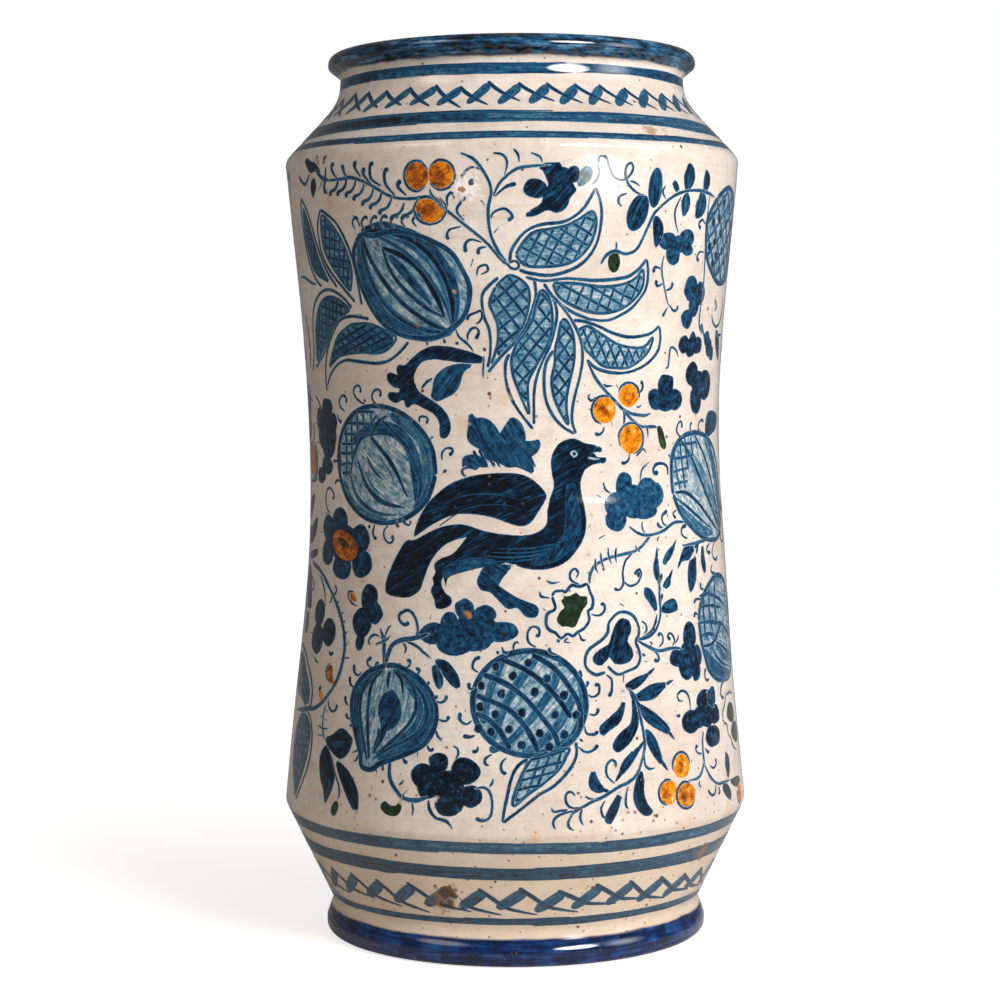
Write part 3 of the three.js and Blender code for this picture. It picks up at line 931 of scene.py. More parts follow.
# Small strokes along a stem, one side or across it
def thorns(path, spacing, length, lean=60, width="fine", first=2.0):
    points = xy(path)
    run = 0.0
    at = first
    for a, b in zip(points, points[1:]):
        while run + (b - a).length > at:
            place = a + (b - a) * ((at - run) / (b - a).length)
            turn = Matrix.Rotation(math.radians(lean + hand.uniform(-12, 12)), 2)
            out = turn @ (b - a).normalized() * length * hand.uniform(0.8, 1.1)
            brush([place + out * 0.65, place + out * 0.1, place - out * 0.45], width, 0.7)
            at += spacing * hand.uniform(0.85, 1.15)
        run += (b - a).length


def arcBetween(a, b, bulge, points=9):
    a, b = Vector(a), Vector(b)
    side = Vector((b.y - a.y, a.x - b.x)).normalized()
    last = points - 1
    return [a.lerp(b, i / last) + side * bulge * math.sin(math.pi * i / last) ** 0.75 for i in range(points)]


# A round fruit: a wash, stripes that run from its crown to its tip as (bulge, width, tone), and a bold edge
def stripedFruit(outline, crown, tip, stripes, tone=0.3, edge=0.8):
    patch(outline, tone, math.degrees(math.atan2(tip[1] - crown[1], tip[0] - crown[0])), "washes")
    for bulge, width, dark in stripes:
        brush(arcBetween(crown, tip, bulge), width, dark, "taper", tone)
    edging(outline, "bold", edge, tone)


# One press of the loaded brush: a plump leaf from its stem end to its tip
def leafStroke(path, width, tone=0.9):
    a, b, c = xy(path)
    pull = 2 * b - (a + c) / 2
    points = [a * (1 - t) ** 2 + 2 * t * (1 - t) * pull + c * t * t for t in (k / 9 for k in range(10))]
    sides = [[], []]
    for i, point in enumerate(points[1:-1], 1):
        ahead = (points[i + 1] - points[i - 1]).normalized()
        out = Vector((-ahead.y, ahead.x)) * width * 0.6 * math.sin(math.pi * (i / 9) ** 0.9) ** 0.75
        sides[0].append(point + out)
        sides[1].append(point - out)
    slope = c - a
    pointedLeaf([a] + sides[0] + [c] + sides[1][::-1], tone, math.degrees(math.atan2(slope.y, slope.x)))


# A long leaf in two outlines, its inner one washed and hatched
def nettedLeaf(outer, inner, slants, spacing=3.4, tone=0.56, dark=0.0):
    patch(inner, tone, layer="washes")
    edging(inner, 1.1, 0.72, tone / 2)
    hatch(inner, spacing, slants, tone=0.84 + dark / 2, ground=tone)
    for path in outer:
        brush(path, "outline", 0.74, "even")


def topLeftSprig():
    brush("-69,254.5 9,0 4,.3 5,-1.3 5,-2.3 5,-2.7 4,-1.2 5,-.3 6,.3 4,-3.3 5,-4 5,-4 4,-3.5 5,-5.5 2.5,-1.5",
        "outline", 0.76)
    curls("-62,254.6 -2,2.4 -.4,2 1.6,.6; -57.5,255 -1.1,2 -.4,2.2; -51,254.5 -2.5,3.5 1,1.7; -47,252 -3,3.5 .8,2.1; "
        "-43,251.3 -4,2.7 0,4 1.5,.8; -38,248 -3.5,4 0,4 1.5,.3; -34,248 -3,3 1.2,2", "outline")
    for x, z in (
            (-66.3, 250.5), (-62.3, 250.3), (-58.3, 249.6), (-54.8, 248.4), (-51.2, 246.6), (-48, 245.3),
            (-44.4, 243.5), (-40, 241.5), (-36, 241.5)):
        brush([(x + 5, z + 4.6), (x + 4, z + 2.2), (x + 2.4, z + 0.8), (x + 0.4, z + 0.2), (x - 0.3, z - 1.2)],
            "outline", 0.76, "dot")
    patch("-70.5,257.4 -2.5,3 -3,1 -3.6,1.4 -1.4,-1.4 2,-2.8 2,-1.2 3,.4 2,-1.4", 0.96, -20)
    leafStroke("-74.6,255.6 -1.8,-2.6 -.8,-4", 3.4, 0.94)
    brush("-74,258.6 4,-3.2 4,-.8", 1.7, 0.84)
    curls("-78,257.5 -4,-3.2 -4,1.7 -1,1.5; -67.5,259 -1,-4 -1,-3 1,-1.7", "outline")
    curls("-73,263 2,-1; -73,262.5 2,-3; -68.5,259.5 .5,2 2,.8; -69,256 -4,-4.5", "outline", ends="taper")
    curls("-63.2,255.8 .4,.2")


def twinBerries():
    berry(-30.3, 254, 4.1, 4.6, 20, 300, 0.6)
    berry(-22.2, 254.1, 4.3, 4.5, -150, 300, 0.57)
    berry(-26.3, 243.6, 5.2, 4.6, 130, 280, 0.57)
    brush("-26,250 .5,-2 2.5,-2.5 2,-2.5", "fine", 0.6)


def centralStem():
    brush("-16,260.8 4.5,-2.3 3.5,-5 1.5,-4.5 -1,-6 .5,-7 2.5,-6 3,-3.5", "outline", 0.74)
    brush("-6,247 2,4 3,3 3,1.8 5,.7 5,.3", "outline", 0.72)
    curls("-9,255.3 -3.5,.9 -2.7,-2.2 -.1,-2.5; -15,239.5 -2.5,3.5 2.5,3.5 .4,-.3; -16,238 -4,-1 -1,-2.2 1,-.5; "
        "-9.5,232.8 -3.5,1 -2,-1.3 0,-2.8; -8,231.5 -2.5,-.5 -.5,-2; -6.5,240 .5,2 3.5,1.3 2.5,-2.3 -1.5,-1.5; "
        "-5.5,247 3.5,3 3.3,1")
    wisps("-20.3,244 -.2,3 1.5,1.5 1,-2.2; -12.5,228 -1,-3; -6,260.5 3,-.5 1.5,-2.5 -1,-4.5; -10,246.3 1.8,-2.3; "
        "-6,235.5 2,2.5; -11.5,222.3 .5,2.7 2.5,.8 .5,-1.8 -2.5,-1.2; .3,262 1.5,-2 .4,-2.5; 5.5,260.6 3,-1.3 "
        ".8,-2.1")
    curls("-6.4,257 .3,.2; -12.2,252.3 .3,0")


def darkFlower():
    patch(["3.3,249 1.7,-2 3.5,-.6 2.3,1.9 -.2,2.5 -2.6,1.8 -3.2,-.4", "7,256.5 3.5,-2.1 3,.2 2,2 3.5,1.9 2,1.5 "
        "-3,-1.1 -3.5,-1.1 -4.5,-.3", "9,255.4 2,-4.4 -1.4,-3 -.8,-3 -3.8,-2.5 -2,-1.9 4,.2 4,1.8 3,-.8 3,1.7 "
        "1.5,3.3 2,2.2 -1.5,2.6 .5,2 -2.5,2.4 -4,.4", "16,253 2,3.4 2.6,.2 .7,-2.6 -.9,-2.2 -2.4,-.6"], 0.92, 45)
    patch("20.6,250 1.9,.5 2.7,2.9 -.2,2.6 -2.2,.6 -2,-2 -.6,-2.6", 0.4, 60, "washes")
    brush("25,250.8 1.8,1.8 .6,2.6 -1,2.4", "fine", 0.6)


def leafFan():
    brush("-2,226.5 1.5,-1.7 2,-.2 .5,1.4 -1.4,1 -1.8,-.6", "fine", 0.72, "even")
    nettedLeaf(["-1,226.5 1,4.5 4,5 5,2.3 6,.7 4,1.5 4,3.5 3.5,6", "26.5,250 1.8,-5 .4,-5 -1.2,-7 -3.5,-5.5 -5,-3.2 "
        "-7,-1.8 -7,.8 -3,1"], "1,229 3,4.5 3,2.5 5,1 5,1 4,2 4.5,2.5 1.5,-3.5 -1.5,-6 -3.5,-4.5 -5,-2.5 -7,-.8 "
        "-6,.5", (62, 152), 3.6, 0.36)
    nettedLeaf(["4,222 6,-1.2 8,.7 10,-.5 10,1 5,2.5 3.3,3.5", "46.3,228 .9,-4 -.4,-5 -2.8,-4 -4,-3.4 -7,-3 -6,0 "
        "-5,1.4 -5,2.5 -4,3.5 -3,4"], "13,220 7,0 10,-1 8,1 4.5,2 2.5,2.5 .4,-4.5 -2.4,-4 -5,-3.6 -6,-1.6 -6,.2 "
        "-6,1.8 -5,3.2", (70, 155), 3.6, 0.33)
    nettedLeaf(["20,208.4 4,-.4 5,-1.5 5,-2 6,-1.3 6,.3 4,1 3.5,2.3", "53.5,206.8 .8,-3.8 -.8,-4 -3.5,-3.5 -5,-2.5 "
        "-6,-1.3 -6,.3 -5,1.5 -3,2.5"], "21.5,205 3.5,1.5 5,-2.5 6,-3 6,-1.2 5,.2 3.8,3 -1.5,-4 -3.3,-3 -5,-2.5 "
        "-5,-.2 -5,.7 -4,3 -3,3", (118, 60), 3.0, 0.33)
    nettedLeaf(["-4.5,222 -3.5,-3 -2,-3 .5,-6 1.8,-5 .2,-6 -1,-5.5", "-8.5,192 3.5,4 3,3 3,3 3,4 2,5 1.5,5 -.5,5"],
        "-5.5,219 -2,-5 1,-3 1.5,-4 0,-5 -1,-4 -1,-3 4,3 3,3.5 3,4.5 1.5,4 1,6 -1.5,4 -5,2.5", (40, 128), 3.7, 0.45,
        0.12)
    nettedLeaf(["-1.2,198 -1.3,-3 0,-5 1.5,-5.5 3,-5 4.5,-5.5", "6.8,175.5 0,4.5 .2,6 1,5 2,5 2,4 1.8,6 .7,5 -1.5,5"],
        "9,218 -1.5,-5 -1,-4 -2.5,-4.5 -3,-4 -1.5,-4.5 .5,-5 1.5,-4 3.5,-8 -.2,5 .2,5 2,4 2.5,4.5 2.5,4.5 1,5 -.5,6 "
        "-1.5,4", (48, 132), 3.7, 0.42, 0.1)
    nettedLeaf(["13.5,199 -2.5,-4 -.7,-6 .7,-6 2.5,-5 3.5,-3.5 3.8,-2", "21.3,172.5 -1.3,3.5 0,4 1,5 1.5,5 1,6 -.5,5 "
        "-2,5 -3,4.5 -3,3.5"], "16,208.5 -1,-5.5 -1,-4 0,-4 -1,-5 .5,-5 2,-5 3,-4.5 -.5,4.5 0,4 1,5 1.5,6 0,6 -1,4.5 "
        "-2,3", (50, 130), 3.5, 0.44, 0.1)


def bigPomegranate():
    outline = ("-53,237 5,-1 8,1 7,-1 6,-2 7,-4 4,-6 2,-6 -2,-8 -6,-5 -6,-2 -10,1 -8,4 -6,7 -4,9 -1,7")
    stripedFruit(outline, (-53, 237), (-20, 205), [(-13.8, 4.8, 0.72), (-11, 2.4, 0.62), (13.4, 5.2, 0.7),
        (10.6, 2.2, 0.6), (-12.6, 1.9, 0.88), (5.8, 1.8, 0.88), (10.8, 1.6, 0.88), (-7.6, 1.3, 0.7)], 0.34, 0.84)
    patch("-43,230 7,-.6 6,-4.8 4.5,-6.6 2.5,-7 -5,2 -7,5 -5,6", 0.42, -45, "washes", 0.34)
    for path, width, tone in (
            ("-44.5,232 7.9,-3 6.2,-5 4.6,-7 3.2,-7.5", 2.1, 0.9),
            ("-44.5,232 3.2,-8 5.8,-6.5 7,-5.2 5.9,-2.8", 1.5, 0.88), ("-42,229.5 5,-5 5,-5.5 5,-5.5", 3.0, 0.78)):
        brush(path, width, tone, "taper", 0.38)
    for x in range(-55, -28, 4):
        lean = hand.uniform(-1, 1)
        brush([(x, 238), (x - 1.4, 240), (x + lean * 0.4, 242), (x + 1.5, 241.2)], "fine", 0.78, "dot")
    brush("-53,238.5 -1,2.5 -2.5,2", "fine", 0.7)


def leftLeaves():
    nettedLeaf(["-55,214 -2,12 -3,8 -5,7 -8,4.5", "-73,245.5 -3,-5.5 1,-8 4,-6 7,-6 6,-5"], "-60,218.5 1.4,6.5 "
        "-2.4,7.5 -4.5,6.3 -6.5,4.7 -1.8,-4.5 .8,-6.5 3.5,-5 5.5,-5.5", (80, 170), 2.7, 0.5, 0.1)
    nettedLeaf(["-67,220 -6,6 -5,9 -4,9 -5,6", "-87,250 -1.5,-4 .5,-8 2,-8 4,-6 5,-3.5"], "-72,222 -5,7 -3.5,8 "
        "-3.5,7 -2.5,2 -.1,-8 2,-7 3.6,-5.5", (75, 165), 2.5, 0.62, 0.2)
    nettedLeaf(["-60,213 -4,3.5 -7,2.8 -7,-.7 -6.5,-4 -3.5,-6.6 -1,-8 -3,-7", "-88,194 5,2.5 4,2.5 4,4.5 4,3.5 4,2.5 "
        "5,1 7,0"], "-61,212.5 -5,3.2 -7,1.3 -7,-2.5 -4.5,-6 -1.3,-6.5 -.2,-5.5 6,3.5 5,4.5 5,4 5,2.5", (82, 168),
        2.6, 0.58, 0.16)
    nettedLeaf(["-52,209.5 -8,1 -6,-.8 -4,-2.7 -4,-4 -3,-4 -2,-5 -.5,-5 .7,-2.8", "-78.5,188 3.5,4 5,3 5,1.3 5,-.3 "
        "8,-.7 4,0 4,.9 4,2.3 4,3.5"], "-76,194 3,5 4,5 5,2.5 4,1.3 8,0 6,-1.8 5,-2.7 -4,-3.8 -5,-1 -6,.3 -7,-.3 "
        "-6,-1", (20, 140), 2.6, 0.58, 0.18)
    curls("-99,224.5 7,-.5 7,-2 4,-.5; -97,212 2.5,-6 .5,-6 -2,-8", "outline", 0.75, "taper")
    curls("-86.7,188.5 .4,0", 1.3)


def scribble():
    wisps("27.2,257.5 .1,2 2.2,0 1,-2.5 1.5,-3 3,-1.5 3,1.5 1.2,2.5 -.9,1.5 -1.5,-1 -.3,-3 1.5,-3 3,-2.2 3.5,-.8; "
        "38,252.3 2,-.3 2.3,-1.3; 37.5,248.5 -2.7,-1 -.3,-2 1.5,-1.5")
    patch(ellipse(33.8, 226.8, 2.3, 3.4), 0.75, 90, "green")
    brush("34.3,230.3 .1,1.7 -.2,1.5", "fine", 0.6)


def rightSprig():
    brush("29,226 2,3 3,1.3 4,-.8 4,1.5 3,5 3,6 2,2 4,3 4,2 5,1.3 7,.4 6,-.7 4,-1", "outline", 0.72)
    patch(ellipse(48.2, 250.6, 2.9, 6.5, -4), 0.84, 85)
    patch(ellipse(41.8, 242.6, 3.9, 6.3, -22), 0.84, 60)
    for path, width in (
            ("48,242 2.5,-5 -1.5,-6", 4), ("58.5,249 -1.5,2.5 -2.5,2.5", 2.2), ("61.5,250.3 1.9,4.7 -1.1,4.5", 5),
            ("71.5,250.5 1.9,3.5 -1.4,4", 3.8), ("62.5,250 -.1,-4 -.9,-4.5", 4), ("70,250.3 1,-4.3 -3.4,-4.3", 5.6)):
        leafStroke(path, width, 0.85)
    wisps("60,248.5 -2.5,-4.5 .5,-4 2,-3.5; 52.5,251.5 -1.2,-2 1.7,-2.5")
    blossom("55,234,4,3 64.3,235,4,3.2 58,229.6,3.4,3.2 60,233,3.4,3 65,231.5,3.4,2.4", 0.84)


def rightTopColumn():
    blossom("69,219,4.2,4.2 75,217.5,3.6,4 71.5,213.5,3.4,3.6 67.8,209.2,3.6,3.4", 0.8)
    brush("76,250 -.5,-12 1.1,-10 .4,-10 -1,-6 .2,-5 2.8,-3", "fine", 0.65)
    brush("53.8,229.5 -.8,-4.5 1.5,-5 1.5,-4 1.5,-3", "fine", 0.72)
    curls("57.5,213.8 2.5,-2.1 2,.6 -.4,1.1; 54.2,220.5 -2.7,-1 -.7,2; 55,218 3,1 .6,2; 53,225 -3,.5 -.4,-1.9; "
        "57,213 -1.5,-2.2 -.9,-1; 53.8,211.6 .8,-.1; 57.6,208.6 .6,-.3; 75,240 -2.5,1.4 -2,-1.4 1.5,-1.6; 75.6,231 "
        "-3.1,0 -1.5,-1.8 1.5,-1.2; 77.2,224.4 .5,-.2")
    blossom("67,200.8,3.4,2.9 72.4,203,2.3,2.1 75.6,200.6,3.6,3 71,198.8,3.2,2.2 71.5,201,3.4,2.6", 0.9)
    blossom("83,202.8,2.8,2.8 85.4,200.2,3.4,3.2 88,198,2.8,2.6", 0.85)
    blossom("73.2,191,4.4,4.3 83.3,187.6,5.6,5.2 76.4,182.8,4.4,5 77.5,188,4.6,4.6", 0.9)
    blossom("58,187.8,4.2,3.6 53,183.3,3.6,3.6 62.6,183,4.5,3.6 57.5,181.6,4.6,2.6 57.6,184.8,3.6,3", 0.86)
    brush("57.2,193 1.5,.6 .3,2.4 .5,3.5 1.5,.3 2,-1.3 1,-2", "fine", 0.65)
    patch("84.5,170.5 0,3.5 1.5,3.5 3,1.5 5,-.2 5,-.8 3,-2 -4,-3.5 -6,-1.5 -5,-1", 0.82, 5)
    leafStroke("80.5,203.6 -2.5,3.2 -2,1.8", 1.8, 0.7)
    leafStroke("92,206 4,-5 3.5,-6", 4.6, 0.85)


def sideFruit():
    outline = ("82,249 6,3 6,1 7,-2 6,-5 3,-8 -2,-8 -5,-6 -8,-2.5 -7,.5 -7,4 -4,5 -1.2,7 .7,5")
    patch(outline, 0.27, 90, "washes")
    edging(outline, "bold", 0.7, 0.25)
    hatch(outline, 5.2, (35, 125), 1.5, 0.74, 0.25)
    dots("80.5,241 2.5,-6.3 -4,-1.7 6.5,9.3 2.5,-4.8 -2.5,-7.3 5.5,2 -1.5,-6.2 -.5,22 -6.2,-20.2 10.7,13.2 2.5,6 "
        "-1,-18 2,7 5,5 -1,-10")
    brush("86,211 2,-2.6 4,-1.4 4,1 3,3 1.5,6", "outline", 0.6)
    brush("92,204.5 6,-.3 5,.4", "outline", 0.7)
    curls("81.8,213.3 .6,-1.3", 1.5)
    brush("88,216 2.6,-2.4 -2.2,-1.6", 1.6, 0.5)


def acanthusCurl():
    patch("-9,196.5 -3,1.5 -5,1.5 -5,1 -5,.2 -4,-1.2 -4,-2.5 -3,-2.3 -2.5,.1 -1,-1.8 .5,-1.5 -3,.8 -1.5,-.8 .2,-2 "
        "2.3,-2 2.5,-.5 -.5,-1 -3.5,0 -1.5,-.8 1,-1.7 3,-1.2 2.5,1 .9,-.8 -.2,-1.5 1.8,-.2 2,1.2 4,-1.5 3,-1.5 "
        "2,-2.5 .2,-3 -.2,-2 2,-.5 1.5,1 1,2.5 -.5,3 -2,3 -3,2.3 -3,1.7 -3,2 -1.5,3.5 1,3 2.5,2.5 4,.7 5,-.5 6,-.7 "
        "6,0", 0.92, 30)
    patch("-10,194.5 -6,.5 -4,-.2 -4,-1.5 -3,-2.8 -1,-3.5 -.5,-2.5 2,-1.7 3.5,1.2 3,1.5 2,2.5 1,3 1.5,2 3.5,1.2",
        0.82, -130)
    brush("-32,187 2,2 2.5,1.5", "outline", 0.75)
    brush("-9.7,197.5 -.3,-4.5 0,-3", "fine", 0.7)
    brush("-19,206 1,-2.5 3,-2.5 2,-2.5", "fine", 0.75)
    curls("-12.5,207.5 1.5,.5 1,2 -.5,1.5 -1.5,-.5 -2.5,-1 -.5,-1.5; -15,202 0,2 1.5,2 1.7,0 .5,-1.5 -1.2,-2; "
        "-19.5,201.6 1.5,-.4; -23.5,203 .8,-1.7; -29.5,202 .5,-1.3; -21.3,201.3 .4,0; -10,200 1,-1.2")


def stripedMelon():
    outline = ellipse(-50, 162.6, 22.6, 18.8, -8, 14)
    stripedFruit(outline, (-63, 170), (-35, 150.3), [(-14.6, 4.4, 0.62)], 0.27)
    for path, width, tone in (
            ("-44.8,178.9 11.8,-7.4 3.5,-9.5 -2.5,-9.4 -4,-4.1", 4.4, 0.58),
            ("-41,178 7.5,-8 2,-10 -2.5,-9", 1.6, 0.46), ("-69.2,156.8 3.9,-6.4 8.3,-4.4 10,-1.4", 3.2, 0.52),
            ("-54,171.5 9.1,-8.4 6.5,-11.1", 1.9, 0.84), ("-48.6,177 10.1,-8.6 5.1,-10.9 -1.2,-6.5", 1.8, 0.84),
            ("-47.9,171.5 2.6,-3.9", 0.9, 0.72), ("-49.6,164.6 4,-4.6 3,-4.6", 0.8, 0.6),
            ("-56.2,165.2 3.6,-4.8 4.2,-2.8", 1.1, 0.8), ("-60.8,163.7 4.2,-7.9 7.2,-5.2 9.9,-1.8", 1.7, 0.82),
            ("-57.4,160.6 3.8,-5.2 6.6,-3.8", 0.9, 0.62), ("-65.3,158.9 3.8,-7 9.1,-4.9 9.6,-.6", 1.4, 0.8),
            ("-54,171.5 3.6,4.5 4.4,2.4", 1.6, 0.8), ("-50.4,178.6 -8.2,-7.6 -4.5,-5.8 -2.2,-7.3", 1.3, 0.8)):
        brush(path, width, tone, "taper", 0.3)
    netted = "-72,160 1.5,9 5.5,8 7,3.6 6.6,-.6 -3.6,-5.4 -4.6,-4.6 -3.8,-5 -2.2,-8"
    hatch(netted, 3.3, (88, 2), 1.1, 0.78, 0.3)
    curls("-72.3,179 .8,-2.2 2,-.8; -67,179.5 -3,1.5 -.5,2 1.5,1.6 2,0 1,-1.1 -.7,-1.2; -56,182 -3,1 -2.5,2 0,2 "
        "1.5,1 1.5,-.2 .5,-1.3 -.5,-.9; -56.5,184 .5,-1.5; -49,181 -3,2 -.5,2 1.5,1.6 2,0 .5,-1.3 -.8,-.7; -48,182.5 "
        ".5,-1.5; -42,180.5 0,-2; -36,178 -.5,-1.5; -33,176 0,1.8 1.5,.4 1.5,-.6 0,-1.1 -.8,-.4; -28,172 -1,-1; "
        "-25,164 0,2.5 1.5,1.5 2,0 .3,-1 -1.3,-1.3; -25,160 1.5,1.3; -70.5,156.7 -3,.1 -1.5,-.8 .3,-.7; -72.5,163 "
        "-2.5,.2 -1.3,-.6; -79,145.5 -3,2 -1,3 1.5,3 2.5,.5 2.3,-1.3 .5,-1.4 -1.1,-.8; -55,143.2 -.5,-1.7; "
        "-52.5,143.3 -1,-2.3 .5,-2 1.5,-.5; -46.5,143 -2,-2 .5,-2.5 2,-1.2 1.5,.9 -.5,1.8; -42.5,145 -.5,-1.7 "
        "1.2,-.7; -37,144.7 -1,-1.4 -1.8,.7 -.7,1.5")
    curls("-18.6,172 .3,0")


def leftCluster():
    blossom("-80,181,4.4,3 -86.5,176.5,4.4 -76.5,175.5,4 -84.5,171.5,4.6 -80,168,5.5,4.6 -77.6,171,4.2 "
        "-81.5,161.5,5,3 -87,158,4.6,2.8", 0.92)
    brush("-91,184.5 3,-1.5 2,-2 2,-1", "outline", 0.75)
    patch(ellipse(-99, 163, 5.5, 5.6), 0.6, 90, "orange")
    brush("-95,169 2.4,-4 .2,-4.5 -2.6,-3.5 -6,-1", "bold", 0.85)
    wisps("-93,180.5 2,-.3; -94,175.2 2.5,0; -92,169 4,-.1; -91,165.6 2.5,.3")
    brush("-103,155.6 6,.2 5,.8", "outline", 0.7)


def crownLeaf():
    patch("-15,180.6 2.2,-2.6 2.3,0 2.5,-1 2,-2 1.2,-2 1.8,2.5 2,2.3 2,-.3 2,-2 1,-3 0,-2 2,0 2.5,.5 .5,-2 -1,-2.2 "
        "-2.5,-1.8 1,-2.5 0,-3.5 -2,1.3 -2.5,1.2 -2,.5 -2,-.2 -3,1.2 -3,1 -2,.5 -1,2.5 -2.5,1.5 -2,1.5 -.7,2 .4,2.4 "
        ".2,2.6", 0.76, -60)
    patch("-17.8,165 2.8,1.2 3,-.4 2.5,-1.3 3.5,-1 3,-1 -4,-.1 -2,.6 1,-1.5 -4,.5 -.6,-1.1 -3.4,.6 -2,-1.5", 0.74,
        -25)
    for x in range(-14, 6, 2):
        brush([(x, 168.4 - (x + 4) ** 2 * 0.01), (x + 1.6, 164.6), (x + 3.2, 161.8)], "fine", 0.86, "lift", 0.7)
    brush("-16.5,162.5 -1.5,-1.5 .4,-1.4 1.4,-.4", "fine", 0.7)


def bird():
    wing = ("-36.6,138.8 1.6,5.2 3,5 4,4 6,4 7,2.3 7,.9 8,0 5,-1.5 4,-3.2 1.5,-2.5 -1,-2.5 -2.5,-3.5 -2,-2.5 -3,-1.3 "
        "-4,.8 -6,2 -6,1 -6,0 -5,-1.5 -5,-2.5 -4,-2.5")
    body = ("12.4,160 -.2,3.5 .8,3 2,2.8 3,1.5 3,.2 3,-1.3 3,-.6 3,-.8 3.3,-1.3 -2.8,-.5 -3,-.1 1.5,-1.4 2.5,-.1 "
        "1.5,-.6 -1.6,-1.4 -2.9,-.2 -2.5,-.7 -2,-1.6 -1.4,-3.4 .1,-3.5 .9,-4.5 .4,-5 -1,-4.5 -3,-4.5 -4,-3.5 -5,-1.8 "
        "-5,-.3 -4,.6 -3,1 -5,1 -6,-.5 -4,-1 -6,-1.2 -3,-2.3 -.5,-2.5 1.5,-2.5 2,-1.5 0,-2.2 -3,-1.5 -2.5,.4 -.5,2.3 "
        "-1.5,3 1,2.5 -.5,1.5 1,2 -.5,2.5 2.5,2 4,1.5 3,3 2,2.3 -6,-1.8 -4,-3 -3,-4 -2,-5 -1.5,-3.5 -3.5,-2.2 -5,-.3 "
        "-4.5,1 -.8,3 1.8,5 3.5,6 3,3.5 3,.2 5,2.3 5,2 6,1 4,-.5 5,-1.5 6,-1 7,-.5 5,1 3,2.5 .5,4 1,4 1.5,4")
    leg = ("-10,131.2 -3,-3.7 -.5,-2 1.5,-2.5 3,-.7 3,-2.8 3,-2.5 3,.3 3,-2.8 3.5,-.2 .8,2.2 -1.3,2 -4,1.5 -4,2 "
        "-4,2.6 1,1.9 3,3.5 2,1.2")
    patch(wing, 0.99, 20)
    patch(body, 0.98, 28)
    patch(leg, 0.88, -35)
    patch("2,132.4 7,1.6 5.5,4.6 1.9,5.9 .2,6.5 .8,5.6 3.2,.4 1,-6 .8,-6 -.8,-5 -3.2,-4.4 -5.4,-3.6 -7,-1.4", 0.85,
        60, ground=0.93, over=1)
    patch("-24,124 1,3 6,2 7,1.6 6,1 -4,1.4 -7,.6 -7,-1.8 -4,-2.2", 0.84, 15, ground=0.95, over=1)
    for bow in (0, 2.2, 4.6, 7):
        brush([(-14 + bow, 132.8 + bow * 0.5), (-2 + bow, 132.2 + bow * 0.6), (9 + bow, 134.2 + bow * 0.7),
            (16 + bow * 0.6, 141 + bow)], 0.7, 0.74, "taper", 0.96)
    for bow in (0, 3.4):
        brush([(-30 + bow, 146.6 - bow), (-20 + bow, 152.4 - bow), (-8 + bow, 153.6 - bow), (2, 151.6 - bow)], 0.6,
            0.76, "taper", 0.96)
    # The eye: a ring left bare, with a dark pupil
    patch(ellipse(20.4, 166.1, 1.6, 1.3), 0.0, 0, "fills", 0.92, 1)
    patch(ellipse(20.5, 166.1, 0.8, 0.7), 0.97, 0, "fills", 0.02, 2)
    brush("25,164.9 2.6,-.5 2.4,-.1", 1.1, 0.05, "taper", 0.9)


def orangeHeartFlower():
    blossom("-72,143.3,5.4,4.6 -80.5,140.5,4.7 -80.5,132.6,4.7,4.5 -70,128.6,6,4.4 -58.8,130,5.2,4.8 "
        "-60.2,138,5.4,4.8 -69,136,9,6.4", 0.9)
    patch(ellipse(-69, 135.6, 8.1, 4.7, -16), 0.62, -16, "orange", 0.9)
    patch(ellipse(-69.5, 136.4, 4.4, 1.5, -16), 0.95, -16, "orange", 0.62, 1)
    wisps("-88,145.5 1,-.7; -83.5,145.7 3.5,-.4; -88,139 3,0")


def edgeLeaves():
    for outline, grain in (
            ("-112,143 7,-.5 6,3.5 3,4 .5,1.8 -3.5,-.6 -5,-1.7 -6,-2.5", 30),
            ("-112,134 9,0 6,1.5 4,3.5 2,4.6 -3,-.1 -5,-2.5 -5,-1 -6,0", 20),
            ("-105,129.6 7,-.3 6,1.2 4.5,1.8 -4.5,1 -5,-.9 -6,-1", 5),
            ("-103,128 4,-2 3,-5 2,-6 .5,-1.8 -3.5,-.7 -4,1.5 -3,7", -60), ("-100,112 3.6,-1 .4,-4 -2,-4 -2,3", -80)):
        patch(outline, 0.94, grain)


